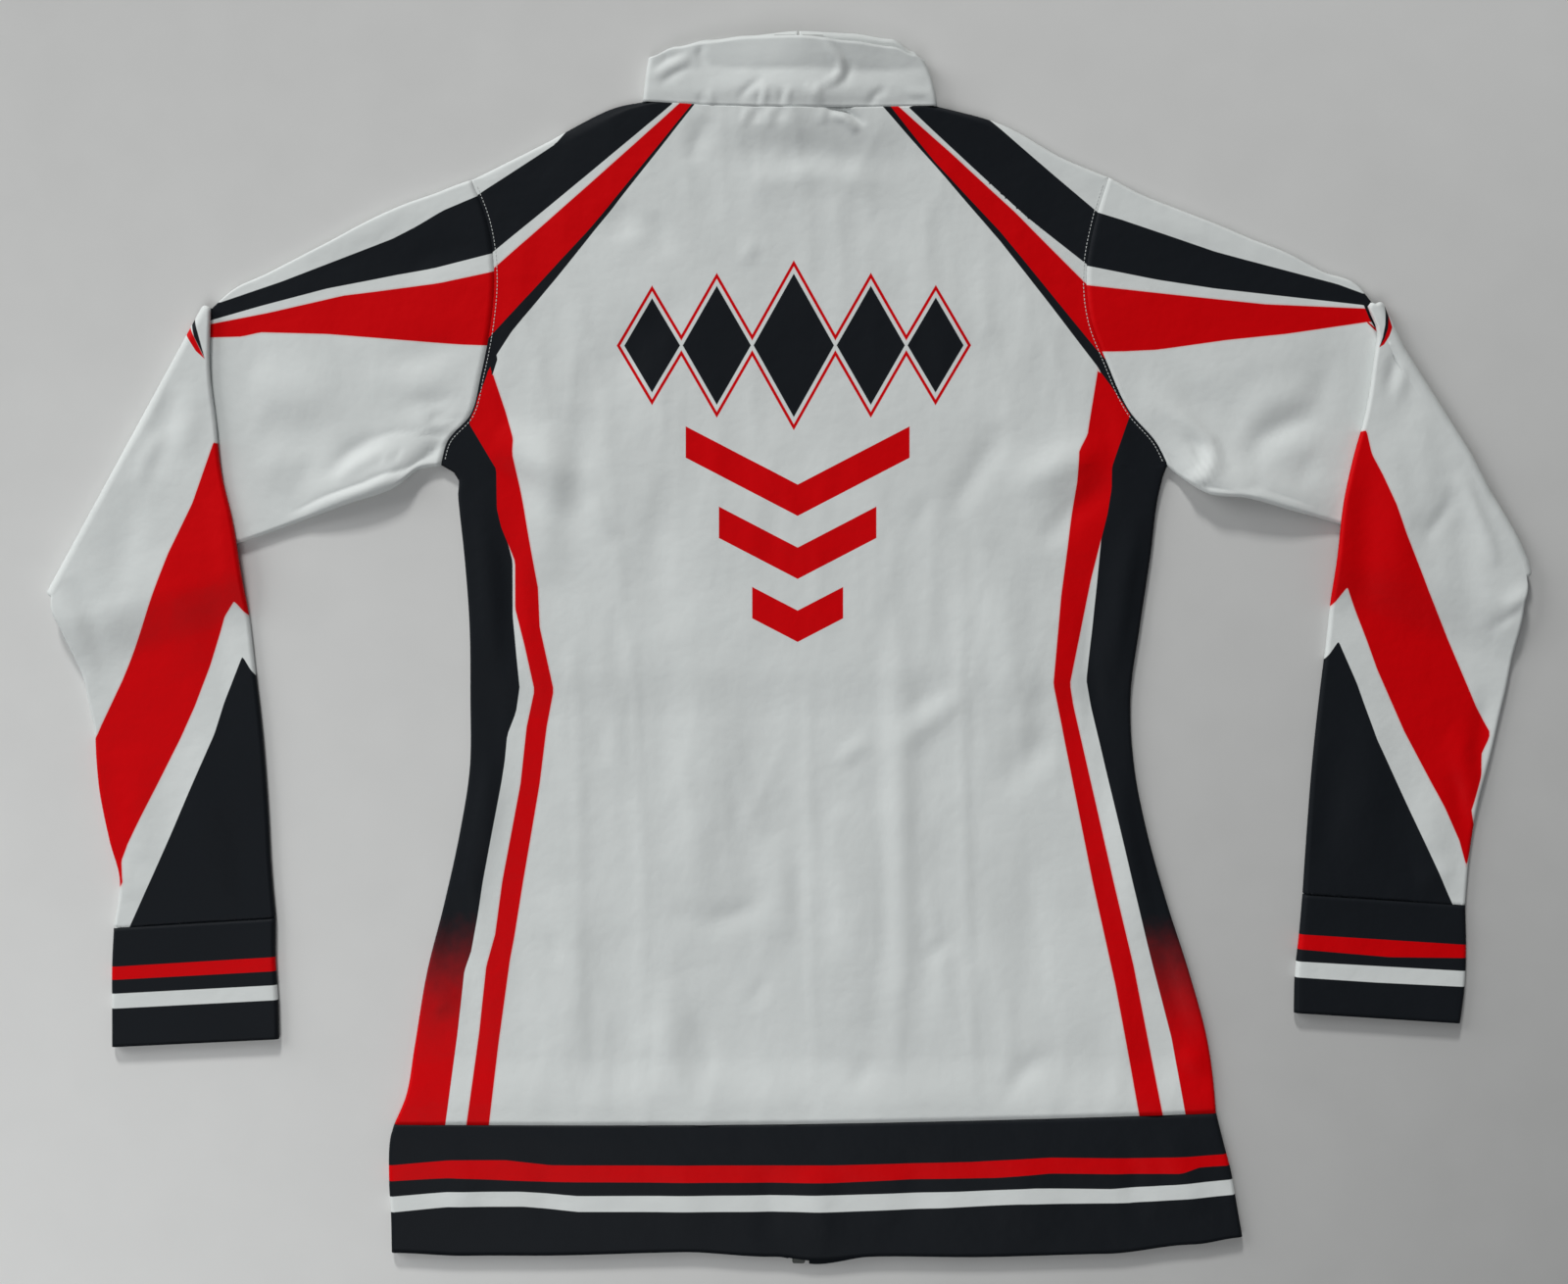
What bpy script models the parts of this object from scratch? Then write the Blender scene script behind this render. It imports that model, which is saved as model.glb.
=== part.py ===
"""A warm-up jacket laid face down on a table, its sleeves folded over once at the elbows.

The tables hold millimetres and the scene holds metres. X runs to the wearer's right, Y to the
collar and Z up from the table. In the tables X = 0 is the closed front zip and Y = 0 the hem's
lower edge; at the end the whole jacket is moved so that its box stands on the origin.

The cloth lies in layers. The fronts and the undersides of the sleeves lie on the table, the
back and the upper sides of the sleeves lie over them, and the folded sleeve ends lie on top.
Every wall is an open sheet, mapped from a grid, that Solidify thickens about its middle.
"""

from collections import namedtuple
from math import cos, exp, pi, radians, sin, sqrt

import bmesh
import bpy
from mathutils import Vector

MM = 0.001

# Cloth and layers
CLOTH = 1.2  # one layer of the knit
BAND = 1.8  # doubled knit: hem band, cuffs and collar
TAPE = 1.0  # woven zip tape
REST = 0.12  # under a sloping layer, so that its underside stays above the table
HOLLOW = 2.4  # slack air between the lower and the upper layer
SEAM = 0.3  # gap between two pieces at a seam
FOLD_GAP = 0.8  # between the middles of two walls that meet edge to edge at a side fold
LAP = 0.4  # gap between a folded sleeve end and the sleeve it lies on
UPPER_BOTTOM = CLOTH + HOLLOW
FOLD_RISE = (0.0, 0.5 * sqrt(2), 1.0)  # height steps from a folded edge to the full layer
FOLD_INSET = (0.0, 1 - 0.5 * sqrt(2), 1.0)  # and how far in from the edge each one lies

# Centre front zip
ZIP_EDGE = 6.0  # from the zip's middle to the cloth on each side
TAPE_WIDTH = 14.0
SLIDER_Y = 687.0
THROAT_LIFT = 2.6  # how far the slider under the throat raises the lower layer
COLLAR_LIFT = 4.6  # and the upper layer over it
THROAT_REACH = (34.0, 38.0)  # how far that spreads, across and along
REST_START = 0.02  # share of the throat's lift at which the cloth is off the table

# Outline of the back, seen from above. Each row goes from the left edge to the right one.
Row = namedtuple("Row", "left_x left_y right_x right_y")
SIDES = (  # hem seam up to the armpits
    Row(-231.5, 74, 239, 80.5),
    Row(-225, 89.5, 237.5, 98),
    Row(-220, 118, 234, 122),
    Row(-213, 160, 223.5, 161),
    Row(-203, 200, 211, 200),
    Row(-194, 241, 199.5, 241),
    Row(-188.5, 276, 192.5, 276),
    Row(-188, 319, 190, 319),
    Row(-188.5, 360, 195.5, 360),
    Row(-191.5, 400, 201.5, 400),
    Row(-195, 433, 206, 434),
    Row(-196, 446, 209, 446),
)
ARMHOLES = (  # armpits up to the shoulder points
    Row(-204.5, 451.5, 211, 451),
    Row(-201, 464, 205, 463),
    Row(-187.5, 480, 189, 482),
    Row(-181.5, 503, 176, 510),
    Row(-176, 532, 167, 534),
    Row(-174, 558, 164.5, 561),
    Row(-178, 590, 170, 593),
    Row(-187, 614, 177, 615.5),
)
SHOULDERS = (  # shoulder points up to the ends of the neck seam
    Row(-150, 632.5, 152, 626),
    Row(-106, 655, 110, 648),
    Row(-89.5, 658.5, 79.5, 656),
)
SHOULDER_SPREAD = 2.2  # how much further in a fold's steps lie at the slanting shoulders
HEM_SAG = 2.8  # how far the hem seam sags between the side folds
NECK_DIP = 3.4  # how far the neck seam sags below its ends at the back
FRONT_NECK_DROP = 35.0  # and at the front

# Flattened sleeves. A row goes from the over edge, at the shoulder, to the under edge.
Chord = namedtuple("Chord", "over_x over_y under_x under_y")
LEFT_UPPER_ARM = (
    Chord(-206, 607.5, -228, 440),
    Chord(-227, 600, -260, 428),
    Chord(-246.5, 591, -288.5, 418),
    Chord(-266, 580.5, -317, 408),
    Chord(-285.5, 570.5, -345, 400),
    Chord(-305, 560.5, -373, 393),
    Chord(-322, 552.5, -401, 385.5),
)
LEFT_FOLD = Chord(-340, 543, -430, 377.5)
LEFT_FOREARM = (
    Chord(-336, 506, -425.5, 367),
    Chord(-332.5, 476, -420.5, 356.5),
    Chord(-329.5, 448, -415.5, 344.5),
    Chord(-323, 420, -409.5, 329.5),
    Chord(-318.5, 392, -406, 313.5),
    Chord(-314.5, 364, -403, 299.5),
    Chord(-311, 333, -402, 283),
    Chord(-307.5, 302.5, -400.5, 266),
    Chord(-304, 257, -394.5, 236),
    Chord(-302, 220, -388.5, 212),
    Chord(-299.5, 192, -392, 186.5),
)
RIGHT_UPPER_ARM = (
    Chord(196, 606, 234, 434.5),
    Chord(217.5, 597.5, 255, 432),
    Chord(238, 589.5, 281.5, 425),
    Chord(258, 581, 308.5, 418),
    Chord(278.5, 573, 336, 410),
    Chord(299.5, 562, 363, 402),
    Chord(317.5, 555.5, 390.5, 394),
)
RIGHT_FOLD = Chord(333, 545, 416, 387)
RIGHT_FOREARM = (
    Chord(328, 510, 414.5, 377),
    Chord(323.5, 481.5, 413.3, 370),
    Chord(316.5, 456, 412.5, 362),
    Chord(311, 431, 411, 353),
    Chord(308, 406, 408, 339),
    Chord(305, 378, 405, 323.5),
    Chord(302, 350, 401, 306.5),
    Chord(298.5, 322, 396.5, 286.5),
    Chord(294, 280, 388.5, 256),
    Chord(291, 242, 384, 229),
    Chord(288.5, 205.5, 381.5, 199.5),
)
CUFF_SHARES = (0.2, 0.4, 0.6, 0.8)  # columns across a cuff
FOLD_TURNS = 6  # steps round the turned-over edge
ARMHOLE_CLEARANCE = 1.4 * SEAM  # sideways, from the body's armhole to the sleeve
DROP_START = 16.0  # past the sleeve below, where the folded end starts down to the table
DROP_LENGTH = 34.0
COVER_MARGIN = 13.0  # from the folded end's edge, where the folds of the sleeve below flatten out

# Bands. Rows run from the seam to the free edge.
LEFT_CUFF = (
    Chord(-299.5, 192, -392, 186.5),
    Chord(-299.5, 170, -393, 165),
    Chord(-298, 144.5, -393, 140),
    Chord(-297.5, 123, -393, 118.5),
)
RIGHT_CUFF = (
    Chord(288.5, 205.5, 381.5, 199.5),
    Chord(286.5, 183, 382, 173.5),
    Chord(284, 159, 381, 151),
    Chord(283.5, 138, 378.5, 132),
)
HEM_ROWS = (
    Row(-231.5, 74, 239, 80.5),
    Row(-234, 65, 243, 64.5),
    Row(-234.5, 40.5, 248, 45),
    Row(-233.5, 24, 251, 27),
    Row(-233, 1, 254, 10),
)
COLLAR_ROWS = (
    Row(-89.5, 658.5, 79.5, 656),
    Row(-88.5, 666.5, 78.5, 662),
    Row(-87.5, 675, 76, 672),
    Row(-86, 683, 72, 681),
)
# How far the free edge leaves a straight line, by share of the way across.
Wave = namedtuple("Wave", "share back front")
HEM_WAVES = (
    Wave(0.0, 0.0, 0.0),
    Wave(0.09, -2.4, -2.0),
    Wave(0.20, -3.2, -3.0),
    Wave(0.34, -2.6, -3.4),
    Wave(0.45, -6.2, -7.2),
    Wave(0.50, -9.0, -12.0),
    Wave(0.57, -7.2, -8.0),
    Wave(0.70, -8.6, -8.2),
    Wave(0.84, -8.0, -7.6),
    Wave(0.94, -3.6, -3.4),
    Wave(1.0, 0.0, 0.0),
)
COLLAR_WAVES = (
    Wave(0.0, 0.0, 0.0),
    Wave(0.10, 5.6, 8.4),
    Wave(0.22, 8.6, 12.4),
    Wave(0.36, 10.8, 14.8),
    Wave(0.55, 11.2, 17.4),
    Wave(0.73, 9.2, 16.8),
    Wave(0.88, 7.0, 14.2),
    Wave(0.96, 3.0, 7.0),
    Wave(1.0, 0.0, 0.0),
)

# The largest soft folds. Each is a straight run from one end to the other, as a ridge, or as a
# trough where its height is negative, that dies away over its width and at both ends.
Crease = namedtuple("Crease", "x0 y0 x1 y1 height width")
BACK_CREASES = (
    Crease(-122, 84, -114, 330, 1.9, 13),
    Crease(3, 84, 5, 322, 1.4, 12),
    Crease(92, 92, 96, 400, 1.6, 12),
    Crease(-62, 90, -78, 236, 1.5, 17),
    Crease(54, 96, 22, 232, 1.6, 17),
    Crease(-176, 236, -160, 372, 2.0, 13),
    Crease(150, 250, 126, 372, 2.0, 14),
    Crease(180, 110, 152, 236, 1.8, 13),
    Crease(-40, 641, 56, 637, 1.3, 8),
    Crease(-52, 612, 66, 606, 1.2, 11),
    Crease(-168, 470, -108, 402, 1.9, 14),
    Crease(176, 462, 128, 400, 1.8, 14),
    Crease(-150, 560, -120, 470, 1.2, 14),
    Crease(34, 330, 104, 402, 1.5, 13),
    Crease(-214, 452, -176, 462, 1.2, 8),
)
LEFT_UPPER_CREASES = (
    Crease(-322, 410, -222, 451, 2.4, 8),
    Crease(-268, 452, -208, 468, 1.8, 8),
    Crease(-290, 470, -216, 492, 1.3, 10),
    Crease(-300, 560, -216, 592, 1.0, 12),
)
RIGHT_UPPER_CREASES = (
    Crease(206, 470, 234, 440, 2.8, 8),
    Crease(236, 440, 306, 426, 2.2, 9),
    Crease(222, 482, 290, 468, 1.5, 11),
    Crease(222, 592, 300, 560, 1.1, 12),
)
LEFT_FOREARM_CREASES = (
    Crease(-420, 352, -372, 402, 2.2, 10),
    Crease(-406, 316, -352, 360, 1.9, 11),
    Crease(-344, 300, -322, 470, 1.3, 13),
    Crease(-394, 250, -330, 286, 1.6, 11),
    Crease(-380, 200, -340, 262, 1.2, 11),
)
RIGHT_FOREARM_CREASES = (
    Crease(412, 368, 364, 414, 2.2, 10),
    Crease(400, 330, 344, 366, 1.9, 11),
    Crease(338, 300, 316, 462, 1.3, 13),
    Crease(386, 262, 320, 300, 1.6, 11),
    Crease(372, 212, 330, 268, 1.2, 11),
)
COLLAR_CREASES = (
    Crease(-70, 676, 74, 675, -1.2, 4.5),
    Crease(20, 686, 14, 668, -1.4, 4.0),
    Crease(-82, 664, -52, 682, 1.2, 5.0),
)

# Cells across the pieces
BACK_COLUMNS = 18  # between the back's side folds
HEM_COLUMNS = 14  # between the hem band's side folds
FRONT_COLUMNS = 3  # on each front
FOLD_STEPS = len(FOLD_RISE)  # points from a folded edge to the full layer

# Colours and finish of the pieces: linear RGB, roughness, metallic
WHITE_KNIT = ((0.47, 0.51, 0.50), 0.62, 0.0)
BLACK_KNIT = ((0.009, 0.011, 0.013), 0.66, 0.0)
WHITE_TAPE = ((0.50, 0.51, 0.50), 0.8, 0.0)
GREY_METAL = ((0.30, 0.31, 0.32), 0.38, 0.9)


def between(a, b, share):
    return a + (b - a) * share


def smooth(share):
    share = min(max(share, 0.0), 1.0)
    return share * share * (3 - 2 * share)


def swell(creases, x, y):
    """How far the folds of one table raise the cloth at x, y."""
    total = 0.0
    for fold in creases:
        run = Vector((fold.x1 - fold.x0, fold.y1 - fold.y0))
        start = Vector((x - fold.x0, y - fold.y0))
        share = start.dot(run) / run.length_squared
        if 0 < share < 1:
            aside = (start - run * share).length / fold.width
            total += fold.height * exp(-aside * aside) * sqrt(4 * share * (1 - share))
    return total


def throat(x, y):
    """1 over the slider, dying away round it."""
    across, along = THROAT_REACH
    return exp(-((x / across) ** 2) - ((y - SLIDER_Y) / along) ** 2)


def throat_edge(x, y):
    """1 where the cloth slopes down from the slider, 0 where it lies flat on the table."""
    return smooth(throat(x, y) / REST_START)


def wave_at(waves, share, side):
    """The table's column named by side, read with smooth steps between its rows."""
    for first, second in zip(waves, waves[1:]):
        if share <= second.share:
            step = (share - first.share) / (second.share - first.share)
            return between(getattr(first, side), getattr(second, side), smooth(step))
    return getattr(waves[-1], side)


def finish(obj, look):
    colour, roughness, metallic = look
    material = bpy.data.materials.new(obj.name)
    material.use_nodes = True
    shader = material.node_tree.nodes["Principled BSDF"]
    shader.inputs["Base Color"].default_value = (*colour, 1)
    shader.inputs["Roughness"].default_value = roughness
    shader.inputs["Metallic"].default_value = metallic
    obj.data.materials.append(material)


def wall(name, place, across, along, thickness, look, closed=False, flip=False):
    """A sheet of cells mapped by place(column, row), in millimetres, and thickened to a wall.

    A closed sheet is a tube: its last column meets its first. Flip turns its faces over.
    """
    mesh = bpy.data.meshes.new(name)
    sheet = bmesh.new()
    bmesh.ops.create_grid(sheet, x_segments=across, y_segments=along, size=1)
    sheet.verts.ensure_lookup_table()
    for index, vert in enumerate(sheet.verts):
        row, column = divmod(index, across + 1)
        vert.co = Vector(place(column % across if closed else column, row)) * MM
    if closed:
        bmesh.ops.remove_doubles(sheet, verts=sheet.verts, dist=1e-7)
    if flip:
        bmesh.ops.reverse_faces(sheet, faces=sheet.faces)
    sheet.to_mesh(mesh)
    sheet.free()
    mesh.shade_smooth()
    mesh.set_sharp_from_angle(angle=radians(50))
    obj = bpy.data.objects.new(name, mesh)
    jacket.objects.link(obj)
    solid = obj.modifiers.new("Wall", "SOLIDIFY")
    solid.thickness = thickness * MM
    solid.offset = 0
    finish(obj, look)
    return obj


# Where the cloth lies: heights of the middle of each wall


def upper_height(x, y, thickness, creases=()):
    lift = COLLAR_LIFT * throat(x, y)
    return UPPER_BOTTOM + thickness / 2 + swell(creases, x, y) + lift


def lower_height(x, y, thickness):
    return thickness / 2 + REST * throat_edge(x, y) + THROAT_LIFT * throat(x, y)


def edge_height(thickness):
    """The height of a side fold, half way between the two layers of one thickness."""
    return (UPPER_BOTTOM + thickness) / 2


# Body panels: rows from the hem seam to the neck seam


BodyRow = namedtuple("BodyRow", "left right folded rise spread")


def edge_steps(first, second, reach):
    """Points just in from first towards second, where a side fold rises to the full layer."""
    run = second - first
    return [first + run * (reach * inset / run.length) for inset in FOLD_INSET[1:]]


def body_rows():
    """The body's rows: their two edge points, whether the edges are folds, how high they lie,
    0 to 1, and how much further in than at an upright edge the folds' steps lie."""
    reach = edge_height(CLOTH) - CLOTH / 2
    rows = [BodyRow(Vector(row[:2]), Vector(row[2:]), True, 0.0, 1.0) for row in SIDES]
    holes = [(Vector(row[:2]), Vector(row[2:])) for row in ARMHOLES]
    rows.append(BodyRow(*holes[0], True, 0.0, 1.0))
    for rise, step in zip(FOLD_RISE[1:], (0, 1)):
        points = [edge_steps(holes[0][side], holes[1][side], reach)[step] for side in (0, 1)]
        rows.append(BodyRow(*points, False, rise, 1.0))
    rows += [BodyRow(left, right, False, 1.0, 1.0) for left, right in holes[1:-1]]
    for rise, step in zip(FOLD_RISE[:0:-1], (1, 0)):
        points = [edge_steps(holes[-1][side], holes[-2][side], reach)[step] for side in (0, 1)]
        rows.append(BodyRow(*points, False, rise, 1.0))
    rows.append(BodyRow(*holes[-1], True, 0.0, 1.0))
    for row in SHOULDERS:
        rows.append(BodyRow(Vector(row[:2]), Vector(row[2:]), True, 0.0, SHOULDER_SPREAD))
    return rows


def sag(share, drop):
    """How far a seam that hangs by drop between its ends has sunk at a share of its length."""
    return drop * sin(pi * share)


def row_point(row, share, index, drop):
    """A point of a body row in plan. Towards the neck the rows sag by up to drop."""
    x = between(row.left.x, row.right.x, share)
    y = between(row.left.y, row.right.y, share)
    armpit, neck = BODY_ROWS[len(SIDES)], BODY_ROWS[-1]
    climb = (row.left.y + row.right.y - armpit.left.y - armpit.right.y) / (
        neck.left.y + neck.right.y - armpit.left.y - armpit.right.y
    )
    y -= sag(share, drop) * max(0, climb) ** 2
    y -= sag(share, HEM_SAG) * max(0, 1 - index / 2)
    if index == 0:
        y += SEAM / 2
    if index == len(BODY_ROWS) - 1:
        y -= SEAM
    return x, y


def edge_shares(row, thickness, reach):
    """Shares of the way across a row at which a fold's steps lie, and its left outer edge."""
    width = (row.right - row.left).length
    inset = thickness / 2 if row.folded else 0.0
    return [(inset + reach * row.spread * step) / width for step in FOLD_INSET]


def fold_rise(step, row):
    """How far towards the full layer the cloth has risen at a fold's step."""
    return max(FOLD_RISE[step], row.rise)


def back_point(column, index):
    row = BODY_ROWS[index]
    reach = edge_height(CLOTH) - CLOTH / 2
    shares = edge_shares(row, CLOTH, reach)
    last = BACK_COLUMNS + 2 * FOLD_STEPS - 1
    side = min(column, last - column)
    if side < FOLD_STEPS:
        share = shares[side] if column == side else 1 - shares[side]
        rise = fold_rise(side, row)
    else:
        inward = (column + 1 - FOLD_STEPS) / (BACK_COLUMNS + 1)
        share = between(shares[-1], 1 - shares[-1], inward)
        rise = 1.0
    x, y = row_point(row, share, index, NECK_DIP)
    top = upper_height(x, y, CLOTH, BACK_CREASES)
    low = edge_height(CLOTH) + FOLD_GAP / 2
    return x, y, between(low, top, rise)


def front_point(side, column, index):
    """Column 0 is the folded outer edge, the last one the edge at the zip."""
    row = BODY_ROWS[index]
    reach = edge_height(CLOTH) - CLOTH / 2
    shares = edge_shares(row, CLOTH, reach)
    width = row.right.x - row.left.x
    middle = (-ZIP_EDGE - row.left.x) / width if side < 0 else (row.right.x - ZIP_EDGE) / width
    if column < FOLD_STEPS:
        share = shares[column]
        rise = fold_rise(column, row)
    else:
        inward = (column + 1 - FOLD_STEPS) / (FRONT_COLUMNS + 1)
        share = between(shares[-1], middle, inward)
        rise = 1.0
    share = share if side < 0 else 1 - share
    x, y = row_point(row, share, index, FRONT_NECK_DROP)
    high = edge_height(CLOTH) - FOLD_GAP / 2
    return x, y, between(high, lower_height(x, y, CLOTH), rise)


def make_body():
    columns, rows = BACK_COLUMNS + 2 * FOLD_STEPS - 1, len(BODY_ROWS) - 1
    wall("back", back_point, columns, rows, CLOTH, WHITE_KNIT)
    for side, name in ((-1, "front_left"), (1, "front_right")):
        wall(
            name,
            lambda column, row, side=side: front_point(side, column, row),
            FRONT_COLUMNS + FOLD_STEPS,
            rows,
            CLOTH,
            WHITE_KNIT,
            flip=side < 0,
        )


# Sleeves: closed rings from the armhole, round the fold and on to the cuff


Ring = namedtuple("Ring", "over under normal upper_depth lower_depth moved")


def around_ring(shares):
    """A ring's points in order, as (end, value), side, from the over edge along the upper side.

    At the over and the under end, value counts the steps of the side fold; between them it is
    the share of the chord. Side is 1 on the upper side of the tube and -1 on the lower one.
    """
    inner = [("share", share) for share in shares]
    upper = [("over", 0), ("over", 1), ("over", 2), *inner, ("under", 2), ("under", 1)]
    lower = [("under", 0), ("under", 1), ("under", 2), *inner[::-1], ("over", 2), ("over", 1)]
    return [(place, 1) for place in upper] + [(place, -1) for place in lower]


def armhole_shares(side):
    """The armhole's points from the shoulder to the armpit, and their shares of its length."""
    column = 0 if side < 0 else 2
    points = [Vector(row[column : column + 2]) for row in reversed(ARMHOLES)]
    steps = [(b - a).length for a, b in zip(points, points[1:])]
    return points, [sum(steps[:index]) / sum(steps) for index in range(len(points))]


def ring_point(ring, place, half, thickness):
    """A point on a ring's chord, and how far it has risen to the full half depth, 0 to 1."""
    end, value = place
    chord = ring.under - ring.over
    if end == "share":
        return ring.over + chord * value, 1.0
    inset = (thickness / 2 + half * FOLD_INSET[value]) / chord.length
    share = inset if end == "over" else 1 - inset
    return ring.over + chord * share, FOLD_RISE[value]


def tube(name, rings, shares, half, thickness, look, flip):
    """A flattened tube through the rings, as a wall of the given thickness."""
    points = around_ring(shares)

    def place(column, index):
        ring = rings[index]
        where, side = points[column]
        point, rise = ring_point(ring, where, half, thickness)
        if ring.moved:
            point = ring.moved(point, where)
        depth = ring.upper_depth if side > 0 else ring.lower_depth
        return point + ring.normal * (side * rise * depth(point.x, point.y))

    return wall(
        name, place, len(points), len(rings) - 1, thickness, look, closed=True, flip=flip
    )


def square_to(run, towards):
    """The unit vector square to run in plan, on the side that towards points to."""
    square = Vector((-run.y, run.x)).normalized()
    return square if square.dot(towards) > 0 else -square


def chord_ends(chord, height, step=0.0):
    """A chord's two ends at one height, moved along Y by step."""
    over = Vector((chord.over_x, chord.over_y + step, height))
    return over, Vector((chord.under_x, chord.under_y + step, height))


def sleeve(side, name, upper_arm, fold, forearm, upper_creases, forearm_creases):
    """One sleeve, laid flat, turned over along its fold and laid across itself."""
    middle = edge_height(CLOTH)
    half = middle - CLOTH / 2
    lap_base = UPPER_BOTTOM + CLOTH + LAP  # height of the folded end's underside
    turn = lap_base / 2  # radius of the turned middle
    up = Vector((0, 0, 1))
    inward = Vector((-side, 0))
    hole, shares = armhole_shares(side)
    fold_over, fold_under = chord_ends(fold, 0.0)
    corner = fold_under.to_2d()
    bared = Vector((forearm[3].over_x, forearm[3].over_y))
    back_in = square_to(fold_under - fold_over, inward).to_3d()
    past = square_to(corner - Vector((upper_arm[3].under_x, upper_arm[3].under_y)), Vector((0, -1)))
    clear = square_to(Vector((forearm[0].over_x, forearm[0].over_y)) - bared, inward)

    def flat_depth(x, y):
        return half

    def upper_depth(x, y):
        """The upper arm's folds flatten out where the folded end covers it."""
        bare = (Vector((x, y)) - bared).dot(clear)
        return half + swell(upper_creases, x, y) * smooth((bare - COVER_MARGIN) / COVER_MARGIN)

    def forearm_depth(x, y):
        return half + swell(forearm_creases, x, y)

    def along_armhole(point, where):
        """On the armhole a ring's points follow the seam instead of the chord."""
        end, value = where
        if end == "share":
            seam = hole[shares.index(value)]
        else:
            first, second = (hole[0], hole[1]) if end == "over" else (hole[-1], hole[-2])
            run = second - first
            seam = first + run * (half * FOLD_INSET[value] / run.length)
        return Vector((seam.x + side * ARMHOLE_CLEARANCE, seam.y, point.z))

    def settled(point, where):
        """The folded end lies on the sleeve below, then comes down to the table beyond it."""
        beyond = (point.to_2d() - corner).dot(past)
        drop = smooth((beyond - DROP_START) / DROP_LENGTH)
        return point + up * between(lap_base, REST, drop)

    shoulder = Vector((*hole[0], middle))
    armpit = Vector((*hole[-1], middle))
    rings = [Ring(shoulder, armpit, up, upper_depth, flat_depth, along_armhole)]
    for chord in upper_arm:
        rings.append(Ring(*chord_ends(chord, middle), up, upper_depth, flat_depth, None))
    outermost = turn + half + CLOTH / 2
    for step in range(FOLD_TURNS + 1):
        angle = pi * (step / FOLD_TURNS - 0.5)
        normal = back_in * cos(angle) - up * sin(angle)
        shift = back_in * outermost + up * (middle + turn) - normal * turn
        rings.append(
            Ring(fold_over + shift, fold_under + shift, normal, flat_depth, flat_depth, None)
        )
    for chord in forearm:
        seam = SEAM / 2 if chord is forearm[-1] else 0.0
        ends = chord_ends(chord, middle, seam)
        rings.append(Ring(*ends, -up, flat_depth, forearm_depth, settled))
    tube(name, rings, shares[1:-1], half, CLOTH, WHITE_KNIT, flip=side > 0)


def cuff(side, name, rows):
    middle = edge_height(BAND)
    half = middle - BAND / 2
    down = Vector((0, 0, -1))

    def flat_depth(x, y):
        return half

    rings = []
    for chord in rows:
        seam = -SEAM / 2 if chord is rows[0] else 0.0
        ends = chord_ends(chord, middle, seam)
        rings.append(Ring(*ends, down, flat_depth, flat_depth, None))
    tube(name, rings, CUFF_SHARES, half, BAND, BLACK_KNIT, flip=side > 0)


# Bands that go round from zip to zip: the hem band and the collar


def zip_to_zip(name, rows, waves, hangs, back_columns, creases, look):
    """A doubled band: a front part under the left side, the back part, a front part right.

    Hangs are the seam's sags at the back and at the front.
    """
    front = FRONT_COLUMNS + 1
    last = 2 * front + 4 * FOLD_STEPS - 3 + back_columns
    edge = front + FOLD_STEPS - 1
    reach = edge_height(BAND) - BAND / 2
    middle = edge_height(BAND)

    def plan(row_index, share, part):
        row = rows[row_index]
        weight = row_index / (len(rows) - 1)
        y = between(row.left_y, row.right_y, share)
        y -= sag(share, hangs[part == "front"]) * (1 - weight)
        y += wave_at(waves, share, part) * weight
        if row_index == 0:
            y += seam_side(rows) * SEAM
        return between(row.left_x, row.right_x, share), y

    def place(column, row_index):
        row = rows[row_index]
        width = row.right_x - row.left_x
        left_side = column <= last / 2
        step = column if left_side else last - column
        if step == edge:
            x, y = plan(row_index, 0.0 if left_side else 1.0, "back")
            return x + (BAND / 2 if left_side else -BAND / 2), y, middle
        steps = [(BAND / 2 + reach * inset) / width for inset in FOLD_INSET]
        part = "front" if step < edge else "back"
        fold = abs(step - edge)
        if fold < FOLD_STEPS:
            share, rise = steps[fold], FOLD_RISE[fold]
        elif part == "front":
            inner = (-ZIP_EDGE - row.left_x if left_side else row.right_x - ZIP_EDGE) / width
            share, rise = between(inner, steps[-1], step / front), 1.0
        else:
            inward = (fold + 1 - FOLD_STEPS) / (back_columns + 1)
            share, rise = between(steps[-1], 1 - steps[-1], inward), 1.0
        x, y = plan(row_index, share if left_side else 1 - share, part)
        if part == "front":
            return x, y, between(middle, lower_height(x, y, BAND), rise)
        return x, y, between(middle, upper_height(x, y, BAND, creases), rise)

    wall(name, place, last, len(rows) - 1, BAND, look, flip=seam_side(rows) < 0)


def seam_side(rows):
    """+1 where the band lies above its seam, as the collar does, -1 where it hangs below."""
    return 1 if rows[-1].left_y > rows[0].left_y else -1


# Zip

LANE = 0.4  # from the zip's middle to a tape's inner edge, where the teeth hold the tapes together
SLIDER_LANE = 2.2  # the same, where the slider's post parts the tapes
PIN_LANE = 2.9  # and beside the pin
POST_START = 2.4  # from the slider's middle up to where the tapes part
PIN_END = 20  # the pin ends below this height
BAND_EDGES = (86, 616)  # heights between which the tapes lie on single cloth
TAPE_ROWS = (  # heights of the rows of cells along a tape
    *(6.6, 19, 21, 50, 82, 90, 130, 180, 230, 280, 330, 380, 430, 480, 530, 570),
    *(600, 612, 621, 632, 644, 656, 668, 678, 687, 689, 690, 697),
)


def tape_lane(y):
    """The tape's inner edge: it parts round the slider's post and round the pin at the box."""
    if y > SLIDER_Y + POST_START:
        return SLIDER_LANE
    return PIN_LANE if y < PIN_END else LANE


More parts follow.
